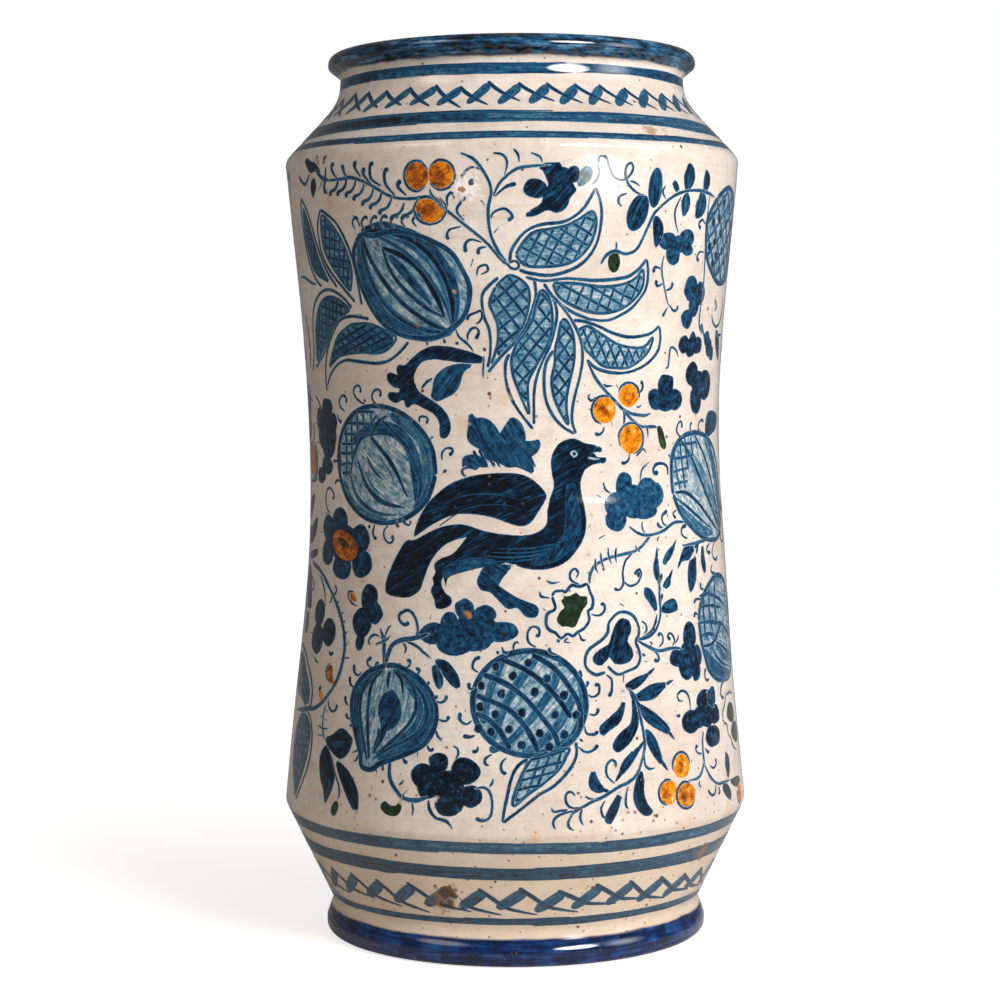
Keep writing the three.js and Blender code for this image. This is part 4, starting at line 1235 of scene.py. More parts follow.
def tickedVine():
    vine = ("-97,128.5 5,-1 6,-1.5 5,-2.5 5,-3.5 4,-3.5 3,-3.5 2.2,-3.5 1.6,-4 .6,-4 -.6,-4.5 -1.8,-5 -3,-4 -5,-4.5 "
        "-5,-2.5 -6,-1 -6,-1 -8,-1")
    brush(vine, 1.6, 0.72, "taper")
    thorns("-76,120 4,-3.5 3,-3.5 2.2,-3.5 1.6,-4 .6,-4 -.4,-4", 3.9, 3.6, 95)
    wisps("-74,122.5 1.5,-1.5 -.5,-1.7 -2,-.8; -75.5,119 0,-2 -1.5,-1; -87,125 4,-3 2.5,-3.5 1,-4")
    patch("-64.6,120.4 2.6,-.1 2.2,-2.3 -1.7,-.5 -1.9,.7", 0.62, -30, "orange")
    brush("-62,120.8 -3,-.3 .5,-2.1 2,-1.4 3,-.8", "fine", 0.78)
    blossom("-54.2,119.3,3.9,4.8 -57,111,4.6,5 -51,114.4,3.3,3.8 -57,105,2.2,3.4", 0.93)
    blossom("-84,112.3,4.6 -84,103.7,5.2,5.2 -75.2,106.6,4.6,4.9", 0.88)
    wisps("-92,105 3.5,0; -92,101.3 2.5,0; -88,98 2,-.7; -85,97.5 2,-1.2 2.5,-.5; -82,87.7 1.5,.1")
    curls("-74,100.8 1,-1.3 2.3,.7; -71.5,85 1,-2.5 2,-1.3 2,.8 .5,1.8")
    patch("-72.5,96.5 2,-1 .5,-3 2,-2 -2.5,-.7 -3,1.5 -1,2.5", 0.68, 60, "orange")
    brush("-72.2,96.8 -2.2,-2.3 .6,-2.5 2.8,-1.8", "fine", 0.8)
    patch("-77.6,87.4 1.6,-.4 1.2,-2 1.3,-.7 -2.5,-.5 -1.8,1.6", 0.6, -50, "orange")
    brush("-78.2,86.8 .8,1.3 .8,-.5", 1.5, 0.75, "even")
    brush("-72.5,83 -1,-3 0,-4 1,-3 2,-2", "fine", 0.7)
    wisps("-73.5,81.5 3,-.8; -75.8,79 5.3,-1.2; -76.5,75.7 3.5,-.7 3.5,.5; -76,72.8 4,-.3")


def lowLeftLeaves():
    patch("-71,72.5 4,1.5 3,2 3,.3 3,-1.8 1.5,-1 -1,-3.5 -2.5,-3 -3,-.7 -4,1.7 -3,2", 0.95, 10)
    patch("-70.5,70 -2.5,-2.5 -.7,-3.5 1.2,-5 2.5,-4 1,-3.5 1,-1.5 .7,2 1.8,3 1.3,4 -.3,4 -2.5,4 -2,2.5", 0.95, -80)
    patch("-64.5,66 3.5,-1 4.5,-3 3.5,-5 .7,-5 -.7,-3 -3,3 -3,4 -3,4.5 -2,3.5", 0.95, -55)
    brush("-66.5,66.5 2,-4.5 2.5,-4 .7,-3 -.7,-2", "fine", 0.7)
    patch("-62,53 .7,-2 -1.2,-3 -2,-.5 -.7,2 1.2,2.5", 0.75, 60, "green")
    nettedLeaf(["-104,100 7,-1.5 6,-3.5 5,-4.5 2.5,-4 0,-4.5 -2.5,-2", "-105,84.5 7,-.5 6,-1.5 4,-2"], "-105,97 "
        "7,-.5 6,-4.5 4,-3.5 2,-3.5 -.5,-3 -3.5,.5 -6,2.5 -8,1.5", (70, 150), 2.8, 0.5, 0.15)
    nettedLeaf(["-87,79.5 4,-2 2.5,-4.5 .5,-5 -1,-5.5 -3,-5.5 -4,-5.5 -2,-2.5", "-90,78 -5,-3 -3,-7 1,-8 6,-10"],
        "-88,78 4,-2 2,-4 -.5,-6 -2,-5 -3.5,-6 -3.5,-4 -3.5,7 -1.5,8 1.5,7 4,4", (60, 125), 2.8, 0.55, 0.15)


def onionFruit():
    outline = ("-45,98 5,0 7,-3 5,-4.5 2.5,-5.5 -.5,-6 -3,-5 -5,-3 -6,-2.5 -5,-2 -3,-2 -4,.5 -1,4 -2.5,6 -2.5,6 "
        "-.5,6 2.5,5 5,4")
    patch(outline, 0.3, -100, "washes")
    for path, width in (
            ("-46,97 -6.5,-3.5 -3.8,-7.5 1.8,-8.5 2.5,-8.5", 4.2),
            ("-40,97 8,-4 4,-7 -1.5,-8 -6.5,-5.2 -10,-4.8", 4.2), ("-42,97 7.5,-6 3.5,-6 -2,-6 -6,-5 -8,-4.5", 2.2)):
        brush(path, width, 0.7, "taper", 0.3)
    for path in ("-47,96.5 -5,-3.5 -2.5,-7 1,-8 2.5,-7.5 1,-3.5", "-46,96.5 -4,-4.5 -1,-7 .5,-8 1,-7 0,-2.5",
            "-41,97 6,-4 2.5,-6 -1,-5 -3.5,-4.5 -5,-4.5 -5.5,-5", "-36,95 5,-5 2.5,-6 -1.5,-5 -5,-4 -7,-3.5 -6,-4",
            "-43.3,96.5 -.3,-3.5 .3,-2.5", "-41.5,96.5 3,-2.5 1,-5", "-46,78 0,-3 -2,-4.5"):
        brush(path, 1.35, 0.88, "taper", 0.34)
    brush("-42.5,80 -2.5,-4.5 -2.8,-6", 2.8, 0.84, "taper", 0.34)
    patch("-41.5,90.8 -4,-2.3 -1.5,-5 1.5,-4.5 -.5,-4 2,1.5 4,1.9 2.4,4.1 -.9,4.9", 0.86, 60, ground=0.28)
    edging(outline, "bold", 0.88, 0.34)
    brush("-45,98 .5,3 1.5,3.5 3,1.8 4,.7 4,1 3,1", 1.7, 0.76)
    brush("-45.5,98 -.5,4 -.5,4 -2,4", 1.7, 0.76)
    curls("-49.5,97.5 .7,1 1.1,.3; -50.5,97 -1.8,.5 -.5,1.5 1.8,1.3; -40,98.5 1,.5; -39,97.5 2.7,.5 .8,1.8 -1.5,.4; "
        "-34.5,95.7 1.7,.1 .8,1.5 -1.5,.4; -31.4,95 .3,0; -30,93.2 1.2,-.2 .3,1; -27,89 1,-.3 .8,.8; -26,87.7 2,-.4 "
        "1.5,1 .3,1.5; -25,83.5 .8,.2; -25,82.2 2,-.7 1.5,.5 0,1.3; -28,74 .5,-1.5 1,-.5 .5,1; -36,70.5 0,-2 1.5,-1; "
        "-42,68.5 -1.5,-1.5 0,-2 .2,-.7; -55,95.3 -1.7,-1.3 -1.8,1 -.3,2.5; -58,90 -2,1 -.5,2.5; -60,83.7 -1.5,1.3 "
        "-.5,2; -58,79.8 -2,.2 -1,1.5; -57,77.5 -2,.3")
    wisps("-25.3,78.7 .8,-2.2 1.5,-1.5; -31.3,71.8 .3,-2.5; -29.7,70.6 .5,-.8; -19.7,74 1.7,-1.2 .2,-1.8 -1.2,-1.7; "
        "-45.5,66.5 -.8,-1.7 .8,-1.3; -53.5,69 -1,-2 -1.5,-.8; -54,73 -.5,-3 -2.5,-1; -46.5,106 1.5,4 1.5,1; "
        "-50,104.5 3,1 2,1 1.5,1.5; -52,104 -1,1.5 2,2 3.5,-.5; -39,106 1.5,-2 -.5,-2")


def underBird():
    blossom("-16.5,112.5,3.6,3.4 -17.5,117.2,3.3,3.5 -10.8,115,4,3.3 -22.5,112.4,3,4 -28,109,5,3.6 -20.5,106,6,4.2 "
        "-13,108.5,5.4,5 -4.4,110,4.8,3.4 -10,110,5,4", 0.85)
    patch("-28,101 .5,-5 1.5,-3.7 1.5,-1.3 1,2 -.3,3 -1.7,3", 0.86, -80)
    patch("-27.5,101.3 4.5,-.6 3.5,-3.2 1.7,-3.5 -.2,-2.8 -2.5,1.3 -2.5,2.5 -2.5,3", 0.88, -45)
    brush("-39,106.5 5,-1.5 3,-2 3,-2", "outline", 0.76)
    curls("-38,106.5 3,.5 1.5,2.5 -1,4 -2.5,2.5 -2.5,-.5 -1.5,-1.5 1,-2 2,-.5 1,1", "outline")
    wisps("-29,115.2 -.3,-2.2")


def lowBlossom():
    blossom("-29,64,4.2,4.2 -24,68.4,3.4,3.4 -15.5,66,5,4.3 -13.5,58,3.9,3.5 -21,61,5.6,5 -27.5,60,3.6,3.4 "
        "-20.5,55,4.6,3.6", 0.92)
    brush("-27,57.5 -4,-1.5 -4.5,.5 -2.5,2 -2.5,3.5 -.5,4 .5,3", 1.5, 0.68)
    brush("-27,56.5 .5,-3 2,-2.5 3.5,-1 2,-2.5", "outline", 0.78)
    wisps("-37.5,60.5 1,.5 1,1.5; -36,57 2,2.2; -32.5,55.5 .5,-2.5 -.3,-2.2; -36,57 -.3,-2; -8,61 1,1.5 .2,1.5")
    curls("-12.5,60.5 3,.5 2,-2 .5,-4 -.7,-3.3 -2.3,-1.2 -2,1")
    patch("-43.5,54 1.5,1 2,-1.2 2,.2 1.2,1.5 .9,-2 -1.1,-2.5 -2.5,-.7 -2.5,.7 -1.6,1.6", 0.78, 0, "green")


def greenFlower():
    edging("11.5,121 1,1.5 2.5,.2 1,-.4 2,2 2,-.3 1.5,0 2,.5 1,-2.5 1,-2.5 -.5,-2.5 -1.3,-1 .3,-3 -2,-2.5 -2,-1 "
        "-1.5,-1.2 -2,.7 -2,-1.3 -2,1.8 -2,1 -1,2 .5,3 2.5,1.5 -.5,2.5", "outline")
    patch("14.5,121.5 2,-.5 1.5,.3 1.5,1.2 1.5,-1.5 2.5,0 0,-2.5 -1.5,-2 -1.5,-3 -1.5,-2.5 -2.5,.3 -2,.2 -1.5,2 "
        "1,2.5 1.5,1.5 -1,2", 0.78, 60, "green")
    wisps("21,124.5 -3,1.5 -.2,2.5 1.7,1.1 1,-1.6 -1,-1.5; 7.3,122.7 .7,-1.7 3,-.5; 8.3,117.2 1.7,-.9; 9.5,126.3 "
        "2,-1.1 3,.5; 35,118.2 2,-1.4; 17,108 -1.4,-1.4 2.4,-.4; 20.3,109.5 1.2,-2.5 1.8,0")
    curls("24.5,115 3,-.5 2,1.5 -.2,2 -1.3,0; 13,107.6 1,-1.2")
    stem = "24.5,124.5 0,2.5 1.5,3 3,1.8 4,1.2 5,.8 4,.7 3,1.5 3,2.5 2,1.3"
    brush(stem, "outline", 0.6)
    wisps("26.8,132.8 -.2,-2.8 1,-2.2; 28.7,134.6 .2,-3 1,-2.7; 31.5,136.2 .1,-3.2 1.2,-2.6; 34.6,136 -.4,-2.6 "
        ".2,-2.6; 42.3,136.5 .5,-1.5 1.7,-1")
    curls("41,134 -3,-2.5 -1.3,-3.5 .1,-3.5 -1.3,-2 -1.5,0 -.6,.7; 37,125 2,-1.5 3,.5 2,2.5 -.5,2 -1.5,-.7 -.5,-1.1")
    patch("40.8,127.4 1.8,1.6 1.8,-1.4 -.8,-2.8 -1.4,1.6", 0.8, 20)


def trefoil():
    brush("30.3,98.5 .7,-1 3,-2 4,1 3,1 1.5,2.5 -.5,3 -1,2.5 1.3,2.5 -.3,3 -2,3 -3,1.2 -3,-.4 -3,-2.8 -.5,-3 "
        "-2.5,-2.5 -4,-2.5 -1.5,-3 .5,-3 3,-2.2 3.5,.7", "outline", 0.72, "even")
    patch("31,106 2,5 2.5,2.3 3,-.8 1,-3 -1.5,-3.5 1.5,-2.5 .5,-2.5 -2,-2 -3,-.5 -2.5,.5 -1.5,2 -3,-2.5 -2.5,1 -.5,2 "
        "2,2 3,1.5", 0.9, 70)
    brush("41.5,106 3.5,-2 5,-2 5,.3 4,-.1 3,-.7", "outline", 0.72)
    brush("41.5,106 3.5,1 3,2 1.5,2.5 .8,2.5", "outline", 0.76)
    curls("50.2,103 2,1.5 .1,2 -1.3,1 -.8,-1; 56.5,103 1.3,1.5 -.8,2 -1.5,.8 -.8,-1.1 1.3,-1.2; 48.3,102 1.7,-1.5 "
        "0,-1.7 -2,.4; 29.5,95.7 2,-1.7 0,-3.5 -1.2,-2")
    wisps("43.3,101.7 .7,-.7 1,-.2; 44,99 1.5,-.2; 46.5,105.2 1,-.7 -.7,-1; 57,103.3 2.5,1.7 .3,2; 43.3,112 1.7,-1 "
        ".5,-2 -1.5,-1.5")
    blossom("66,105.6,3.8,4.6 58.6,98.9,3.5,3 69.6,98.6,3,3.8 63.6,95.6,4.4,4.2 68.6,93.8,2.6,3.4 65,99.6,5,4.6", 0.9)


def willowSprig():
    brush("36,95.5 -.2,-3", "outline", 0.76)
    for outline, grain in (
            ("36,92 4,2 4.5,1.2 2.9,.8 -2.8,-3 -3.6,-2.4 -3.6,-.6", 20),
            ("40,88.7 6,2.8 5,.3 4.2,-.1 -3.2,-2.3 -4,-2.6 -4,-.6 -3.5,.6", 15),
            ("35,91.5 -.5,-5.5 -3,-3 -3.5,-2.5 -1.2,-1.5 .2,-2 1.3,-.8 1.7,1.3 4,2.5 2,4 .5,4 -.5,3", 55),
            ("38.5,89 0,-6 -1,-3.5 -3,-2 -2.5,-2.5 -1,-2.5 1.5,-1.8 2.5,.8 3.5,3 2.5,4.5 0,5 -.5,3.5", 60),
            ("40.5,86.5 5.5,-3 4,-3 3.5,-3.5 1,-3.2 -4.5,2 -4,2.2 -3,2.5 -1.7,3", -40),
            ("43,77.5 2,-.5 2.5,-3 1.5,-4 1.8,-5.7 -3.3,2.2 -2.5,3.5 -1.5,3", -65),
            ("42,73 -4,-2 -3.5,-3 -1.5,-3 -.7,-2.5 2.7,1.5 3,3 3.5,4.5", 48),
            ("24,66.5 -1.3,-3.5 .3,-3 2.5,-1.7 3.5,.5 -1.5,1.7 -1.5,2.5 -1.2,3", -70),
            ("34,58.8 -1,-4.3 -1.5,-3.5 -2,-2.7 -1.7,.2 -.3,2 1.5,3 2.5,3.5 2,2", 60),
            ("40,64.5 -1.5,-3.5 -1,-4.5 1,-4 2.5,-2.5 2.5,-.2 1.5,1.2 -2,2.5 -1.2,3.5 .2,4 -.5,3", -80)):
        pointedLeaf(outline, 0.88, grain)
    brush("37,91 3,-3 1.5,-6 1,-5 .3,-5 -1.8,-5.5 -2,-3.5 -3,-2 -3,-1 -3,-1.5 -3,-1.5 -3,-1 -3,-1.5 -3,-1.5 "
        "-1.5,-1.5", "outline", 0.74)
    wisps("42.5,71 0,-4.5 1.5,-1.8 2.5,.1; 36,60 -1,-3.5 0,-3 1,-.7; 21.5,58 1,-1 2.5,-.5; 20.5,54 -.8,-3 1.1,-2.7; "
        "17.5,52.3 -1.5,-2.3 .3,-2 1.7,-1; 16,53.7 -2,-.2 -2.5,-.2 -.5,1.5; 18,53.2 -2,-.2 -3,-1 -1.5,-1.5 0,-1.7 "
        ".8,-1.3; 28,56 -1.5,-2.5 .5,-2.5 1,-.5")
    wisps("31.5,61 -2.5,2.5 -.3,3 1.8,2 1.5,-1 -.2,-1.7; 18.5,57.8 -1.5,1.5 -1.5,-.8 0,-2.5 1.5,-1.7 3,0")


def dottedFruit():
    outline = ellipse(4.5, 87.4, 18.2, 16.4, -12, 14)
    patch(outline, 0.28, 45, "washes")
    for path in ("-5,101.5 8,-3.5 6,-4.5 5,-5.5 3.5,-5.5", "-10.5,96.5 6.5,-2.5 6,-4 5,-5.5 5,-6.5 1.5,-4.5",
            "-12.8,90 9.8,-4 5,-4.5 3.5,-5.5 1.5,-4", "-13,84 3.5,-1 4.5,-4 3.4,-6", "5,102.8 7,-4.3 5,-6 3.5,-6.5 "
            ".1,-7"):
        brush(path, 1.9, 0.86, "even", 0.28)
    for path in ("13.5,98 -1.5,-5 -4,-6.5 -5,-6 -5,-5 -6,-3", "19,90 -4,-7.4 -4,-5.1 -5,-4 -4,-1.7", "6.5,102 "
            "-5.5,-8 -4,-7 -3,-7 -2,-5.5", "-4,102 -3,-7 -2,-7 -1,-7"):
        brush(path, 2.7, 0.6, "even", 0.28)
    dots("-6.5,99 10.5,1 -5,-4 11,-1 -14.5,-4.5 10.5,.3 9.5,-1.1 -21.8,-5.7 8.3,.5 10.5,-.9 6.8,-.2 -26.8,-4.9 "
        "5.5,.8 9.5,-1.3 7.8,-.7 -13.3,-3 -13,18.7 -.3,-6.7 -.3,-6.8 22.1,-5.9")
    brush("20.5,94 1.5,-8 -3.5,-9 -7.5,-5 -8,-.8", 3.0, 0.62, "taper", 0.28)
    edging(outline, 2.0, 0.84, 0.28)
    patch("12.3,100.4 1.7,.4 2.6,1.6 -.4,-3 -1.8,-.8", 0.7, 30)
    nettedLeaf(["4,70 -3,-2 -2,-3.5 -1.3,-5.5 -1.2,-6 -.2,-3", "19,75 0,-4.5 -2.5,-4.5 -4.5,-4.5 -5,-3 -5,-4 "
        "-5.7,-4.5"], "5.5,70.6 -3,-4.6 -2.5,-6 -.7,-3 .4,-1.7 4.3,3.7 5,3.5 4.5,4 2,3.5 .7,3", (12, 70), 2.9, 0.34)
    curls("-6.7,104 1.2,-1; -4.8,105.5 .8,-2 1.5,-.2; 13.3,102.5 -2.3,.8 -.5,1.7; 21.5,95 -.5,1 -.5,1.5; 22,91.5 "
        "1.3,1.5 -.3,1; 23,89.7 2,-.9 2,1.2 0,2.5 -1.5,0; 23.5,83.7 1.5,-.7 1.5,1 -.2,1.3; 22,80 .5,-2.5 2.5,-.5 "
        "1.5,1; 19.5,73.5 2.5,-1.9 2.5,.4 1.8,1.7; -13.5,82 -2,-1.2 -2,1.2 0,2.5; -12.5,77.4 -1.5,-.6 -2.5,.2; "
        "-11.5,74 -.5,-1.7 -1.5,0; -2.5,70.6 -1.8,-2.1 .3,-2.5 1.5,-.5; -13,92.3 -1.8,-.3 -.2,2; -12,97 -2,1.5 "
        ".5,2.5 2,1; 6.5,105 -2.5,1.5 -.5,3 1.5,2 2,-.5 .3,-2 -1.3,-.5")
    wisps("-.8,103.5 -.2,2 1,1.3 .8,-.8; 20,76 .8,-.7 .7,-.6; 19.5,69 1,-1; -15.5,91 1.5,-1; -7,71.5 -2.3,-1.5 "
        ".3,-1.8 1.3,-.2")


def rightBerries():
    berry(41.2, 184.5, 4.2, 3.9, -20, 190)
    berry(31.6, 179.9, 4.5, 4.4, 60, 200)
    berry(42.2, 170.6, 5.0, 4.9, -80, 290)
    brush("25.3,195.5 2.7,-5 4,-4.5 4,-3.5 3,-2.5 4,-1.5 5,-.5 3,.7", "outline", 0.68)
    brush("36,182.5 3,-2.5 2,-2 4,-3 3,-.7 4,0 2,-.3", "outline", 0.68)
    patch("53.5,174.5 2,0 1.5,-2 1.2,-3.5 .1,-1.5 -1,-.7 -1.8,.7 -1.1,2.5 -.4,2.5", 0.7, -65, "green")
    curls("26.3,185.3 -.5,-1.5 1.2,-.9 2,.9; 31.6,175 -.6,-2 -1.5,-.9 -1.5,.5; 41.3,166 -.3,-2 -1.7,-1.2 -1.5,.2; "
        "44,185.5 2.3,.3 .7,2 -1,1.4")
    wisps("25.5,180.4 1.5,-.5; 34.3,176.5 .3,-2; 44,164.8 1.5,1.2 1.5,1.3 2,-1.7; 31,188.3 1.5,-.8 2.5,.2; 36,188.5 "
        "1,-2; 44.3,180.8 1.2,-.1 1.2,.8; 39,180 .5,-3 -.5,-2; 48.3,175.2 1,-1.7 .2,-3")


def midBlossom():
    blossom("35,144.8,4.2,4 35,149.4,4.2,4.2 38.8,155.6,3.6,4.6 42.5,150.4,6,5.4 48.5,154.6,4.4,3.4 "
        "51.4,152.2,4.8,4.2 47,147.6,5.4,3.4", 0.8)
    brush("40,142.5 3,-2 3,-1 4,0 5,1 5,2.2 4,.3 4,-.5", "outline", 0.66)
    wisps("28,153 4,-2.2; 28,138.8 3,1.5; 30.7,157 .8,-2.5 2.5,-1.5; 45.5,144 0,-2.5 1.5,-2; 45.5,157 1,3.5 3.5,2.5; "
        "57.5,155.5 1.2,-1; 57,146 1,-1.5; 55.5,137.8 1,1.2; 52,137 0,1 1,.8")
    curls("58.5,158.3 0,2.7 -2.5,1.3 -3,-.3 -1.4,-1.4 .4,-1.3 2,.2", "outline")
    curls("57,142 -2,1 -.2,2.3 2.7,1.7; 55,141.5 -2,.5 -.7,1.4; 62.5,147 -2,-1 .5,-1.2 1,-.3; 68,137.5 -2,.3 "
        "-1.7,1.5 .7,1.7 2.5,.8")


def sideMelon():
    outline = ("61,152 -.5,6 1,7 4.5,5 7,1.8 9,-.6 9,-3.2 7,-6 3,-8 0,-9 -3,-6.5 -6,-2.5 -8,0 -8,2 -6,3.5 -5.5,4.5")
    patch(outline, 0.24, -40, "washes")
    for path, width, tone in (
            ("63,148 7,-5 8,-3.4 10,-1.6", 4.4, 0.56), ("70,166 10,-8 10,-10 8,-8.5", 5, 0.46),
            ("84,170 8,-8 5,-10 2,-10", 5, 0.52), ("62,152.6 6,-.2 7,-3 7,-4.4 8,-4.6 7,-3", 1.3, 0.84),
            ("66,170 7,-6.4 9,-10.6 8,-8.4 7,-6.6", 1.6, 0.84), ("75,171.6 9,-8.6 7,-10 5,-10 2,-4.6", 1.5, 0.82),
            ("62,151 8,-4 8,-4 10,-4", 1.2, 0.82), ("86,170.6 7,-7.6 4,-10 1.6,-11", 1.2, 0.8)):
        brush(path, width, tone, "taper", 0.3)
    hatch("61.6,154 0,10 4.4,5.6 7,1.4 7,-4 -8,-4 -2,-8 -3,-2", 3.9, (4, 100), 1.1, 0.78, 0.3)
    edging(outline, 1.8, 0.76, 0.3)
    curls("68,171.2 -2.5,-.2 -1.5,2 1,2.2 1.5,.5 .7,-1.2 -.7,-.8; 74,172 -1.5,1 .3,1.8 1,.2; 80.3,172.5 -1.8,.5 .5,2 "
        "2.5,1 1.5,-.7; 84,135 -3,-1.5 .5,-1.5 2.5,-.2; 90,135.5 -4,-3 .5,-2.5 2.5,-1 2,1; 85,127.8 -1.6,-1.8 "
        "1.2,-1.2 2.4,-.2")
    wisps("59,165.3 1.5,-1.3 1,-1; 61,169 1.5,-.5; 71,137.3 1.2,0")


def doubleSprig():
    brush("64,135.2 8,.3 6,.5 7,.4", "outline", 0.6)
    brush("52,125.5 -.4,-5.5 .2,-5.5 -1.2,-4 -2.6,-2.9 -3.4,-1.2 -2.6,-.4", "outline", 0.76)
    for outline, grain in (
            ("74,134.8 -6,.5 -3,-.8 -2,-2.5 -1,-2 -.2,-1.2 2.7,1.2 3.5,.3 3,2.2", 25),
            ("74,134 -3,-3 -3,-1 -1.5,-4 0,-4 1,-3 2,1.5 2.5,3.5 .5,5 .5,3", 75),
            ("76.5,135.5 2,0 .2,-4.5 .8,-3 -.5,-2.5 -.7,-1.2 -1.8,2.2 -1,3 .7,3", -85),
            ("51.4,134.2 -1.4,-2.7 -.8,-3.5 1.1,-3.5 1.7,-2 .3,4.5 -.3,4", -85),
            ("60.5,136.4 -3.5,-1.9 -2.5,-2.5 -1.5,-3.5 -.6,-4 2.6,4.5 3,2.5 2,2.5", 60),
            ("57.8,126.8 -2.8,-1.8 -2,-2.5 -.8,-4.5 1.8,3 3,1.5 .6,2.5", 55),
            ("52,115.5 2,2 4,1 2,-1.5 .4,-2.7 -4.4,-.8 -3.5,.7", 0),
            ("45.2,123 -.5,-2.5 1.8,-2.5 2.5,-3.5 .5,-3.5 -2.1,-3.4 2.6,2.8 .6,4.6 -.6,4 -2,3", -70)):
        pointedLeaf(outline, 0.84, grain)


def sideOnion():
    outline = ("72,110 1,4 3,4 4,3 6,2.5 6,0 7,-2.5 5,-6 2,-8 -1,-9 -4,-7 -6,-2.2 -9,.2 -5,1.5 -4,3 -2,4 -2,5.5")
    patch(outline, 0.3, -15, "washes")
    for path, width in (("74,100 6,-5 8,-3.4 10,-1.2", 4.6), ("84,101 8,-4.6 10,-2.4", 2.6)):
        brush(path, width, 0.66, "taper", 0.3)
    for path in ("73,118 6,.4 5,-1 6,-1.6 7,-2.8", "73.3,114.4 6.7,0 6,-.8 6,-.8", "72,109.3 8,-.3 6,-1 5,-.5 6,-2.9 "
            "7,-3", "72.5,105.3 7.5,-.3 5,-1.5", "73.5,101.5 6.5,0 4,1.5 4,3 4,2.4", "84,102 6,-2 7,-3 7.6,-2.5",
            "80,101 4,-4 6,-3 8,-1.7", "76,117.6 -.4,-5.6 .4,-6 2.6,-3.6", "81,121 -1,-6 .4,-6 2.6,-5",
            "87,123 -2,-6 .6,-7 2.4,-3.4"):
        brush(path, 1.35, 0.82, "taper", 0.3)
    edging(outline, 1.8, 0.76, 0.3)
    curls("74,115.8 -.5,1.2 -3,0 -1,-1.3; 72,111.5 -2,1.2 -1,-1.4; 77,120 -2.5,.5 0,2; 77,90.8 -1.5,-.8 -1.5,1 0,2 "
        "1,1; 95,88.8 -4,-.3 -4,-1 -1.7,-2.5 .7,-1.7 2,-.6")


def lowRight():
    blossom("64,77.6,4.8,4 73,83.6,5.6,3.8 79,78.6,3.8,3.4 76.4,71.4,5.4,3.6 73,79.4,5.2,4.6 68.6,78.8,4,3.6", 0.9)
    patch("74,86.4 3,1 1.6,1.5 1.8,-2.7 -.1,-3.2 -1.5,-2.4 -3.8,1.4", 0.88, 60)
    brush("70.3,74 -1,-4 0,-6 .2,-2", "outline", 0.6)
    brush("69.4,64.4 -1.9,-3.6 -2.5,-1.6 -5,-.2", "outline", 0.6)
    brush("69.5,63 2.5,-4 3,-2.5 3,-1 3,0 7,-.1", "outline", 0.72)
    curls("69,66.8 -2,.2 -1.5,1 0,1.3 1.2,.2; 70.5,68.5 1.3,-1.5 1.2,-.3; 66.3,63.9 .5,-.1; 72.5,62.5 2,-1.3 2,.8 "
        ".5,1.5 -1,0; 75.5,56 -.7,-2.5 -1.8,-1 -2,1 -.2,1.3; 79.4,59.6 .3,-.4; 77,55 .7,-2 -1.2,-.7; 56.8,80.8 "
        ".7,-.6 1.3,.3")
    wisps("66,58.5 -.3,-1.8 1.3,-.9; 64,81.5 -.2,3.5 -1.3,2.3 -2.5,.9 -2,-1.2 .5,-1.8 2.3,-.4")
    berry(57.6, 64.2, 3.8, 4.2, 0, 200)
    berry(51.3, 56.3, 3.9, 4.0, 70, 190)
    berry(59, 54.6, 4.3, 4.2, 60, 280)
    patch("85,65.8 -1.5,-4.8 1,-3 -1.3,-2.4 2.8,.9 2,3.5 -.5,3.5", 0.88, 80)
    patch("80,55 .3,-2.5 2.7,-2.5 3.8,-1.8 .2,3.3 -2,2.5 -2.5,1.3", 0.9, -40)
    patch("86,55.5 4,.1 5,-.1 4,-1 1,-1.5 -4,-1.2 -4,.4 -4,1.6", 0.6, 0, "green")
    berry(97, 49.3, 3.4, 3.1, 150, 120)
    patch("89.5,76 1.5,3.5 4,1.1 4,-2.2 .6,-3.4 -2.6,-1.4 -4,.4", 0.8, 0, "green")
    patch("92.6,71 3.4,2.4 5,-.2 3,-3.2 -1.5,-3.4 -4.5,-.2 -4,2.1", 0.8, 30, "green")
    brush("91,84 -3,-3.6 -2.4,-2.4 .2,-3 2.8,-1.4 .8,-3.2 2.6,-1.8 2,-3 5,-2", "fine", 0.6)
    brush("90,83 3,.7 4,-.2 3,-1.2", "fine", 0.6)


def paintFront():
    for motif in (topLeftSprig, twinBerries, centralStem, darkFlower, leafFan, bigPomegranate, leftLeaves, scribble,
            rightSprig, rightTopColumn, sideFruit, acanthusCurl, stripedMelon, leftCluster, crownLeaf, bird,
            orangeHeartFlower, edgeLeaves, tickedVine, lowLeftLeaves, onionFruit, underBird, lowBlossom, greenFlower,
            trefoil, willowSprig, dottedFruit, rightBerries, midBlossom, sideMelon, doubleSprig, sideOnion, lowRight):
        motif()


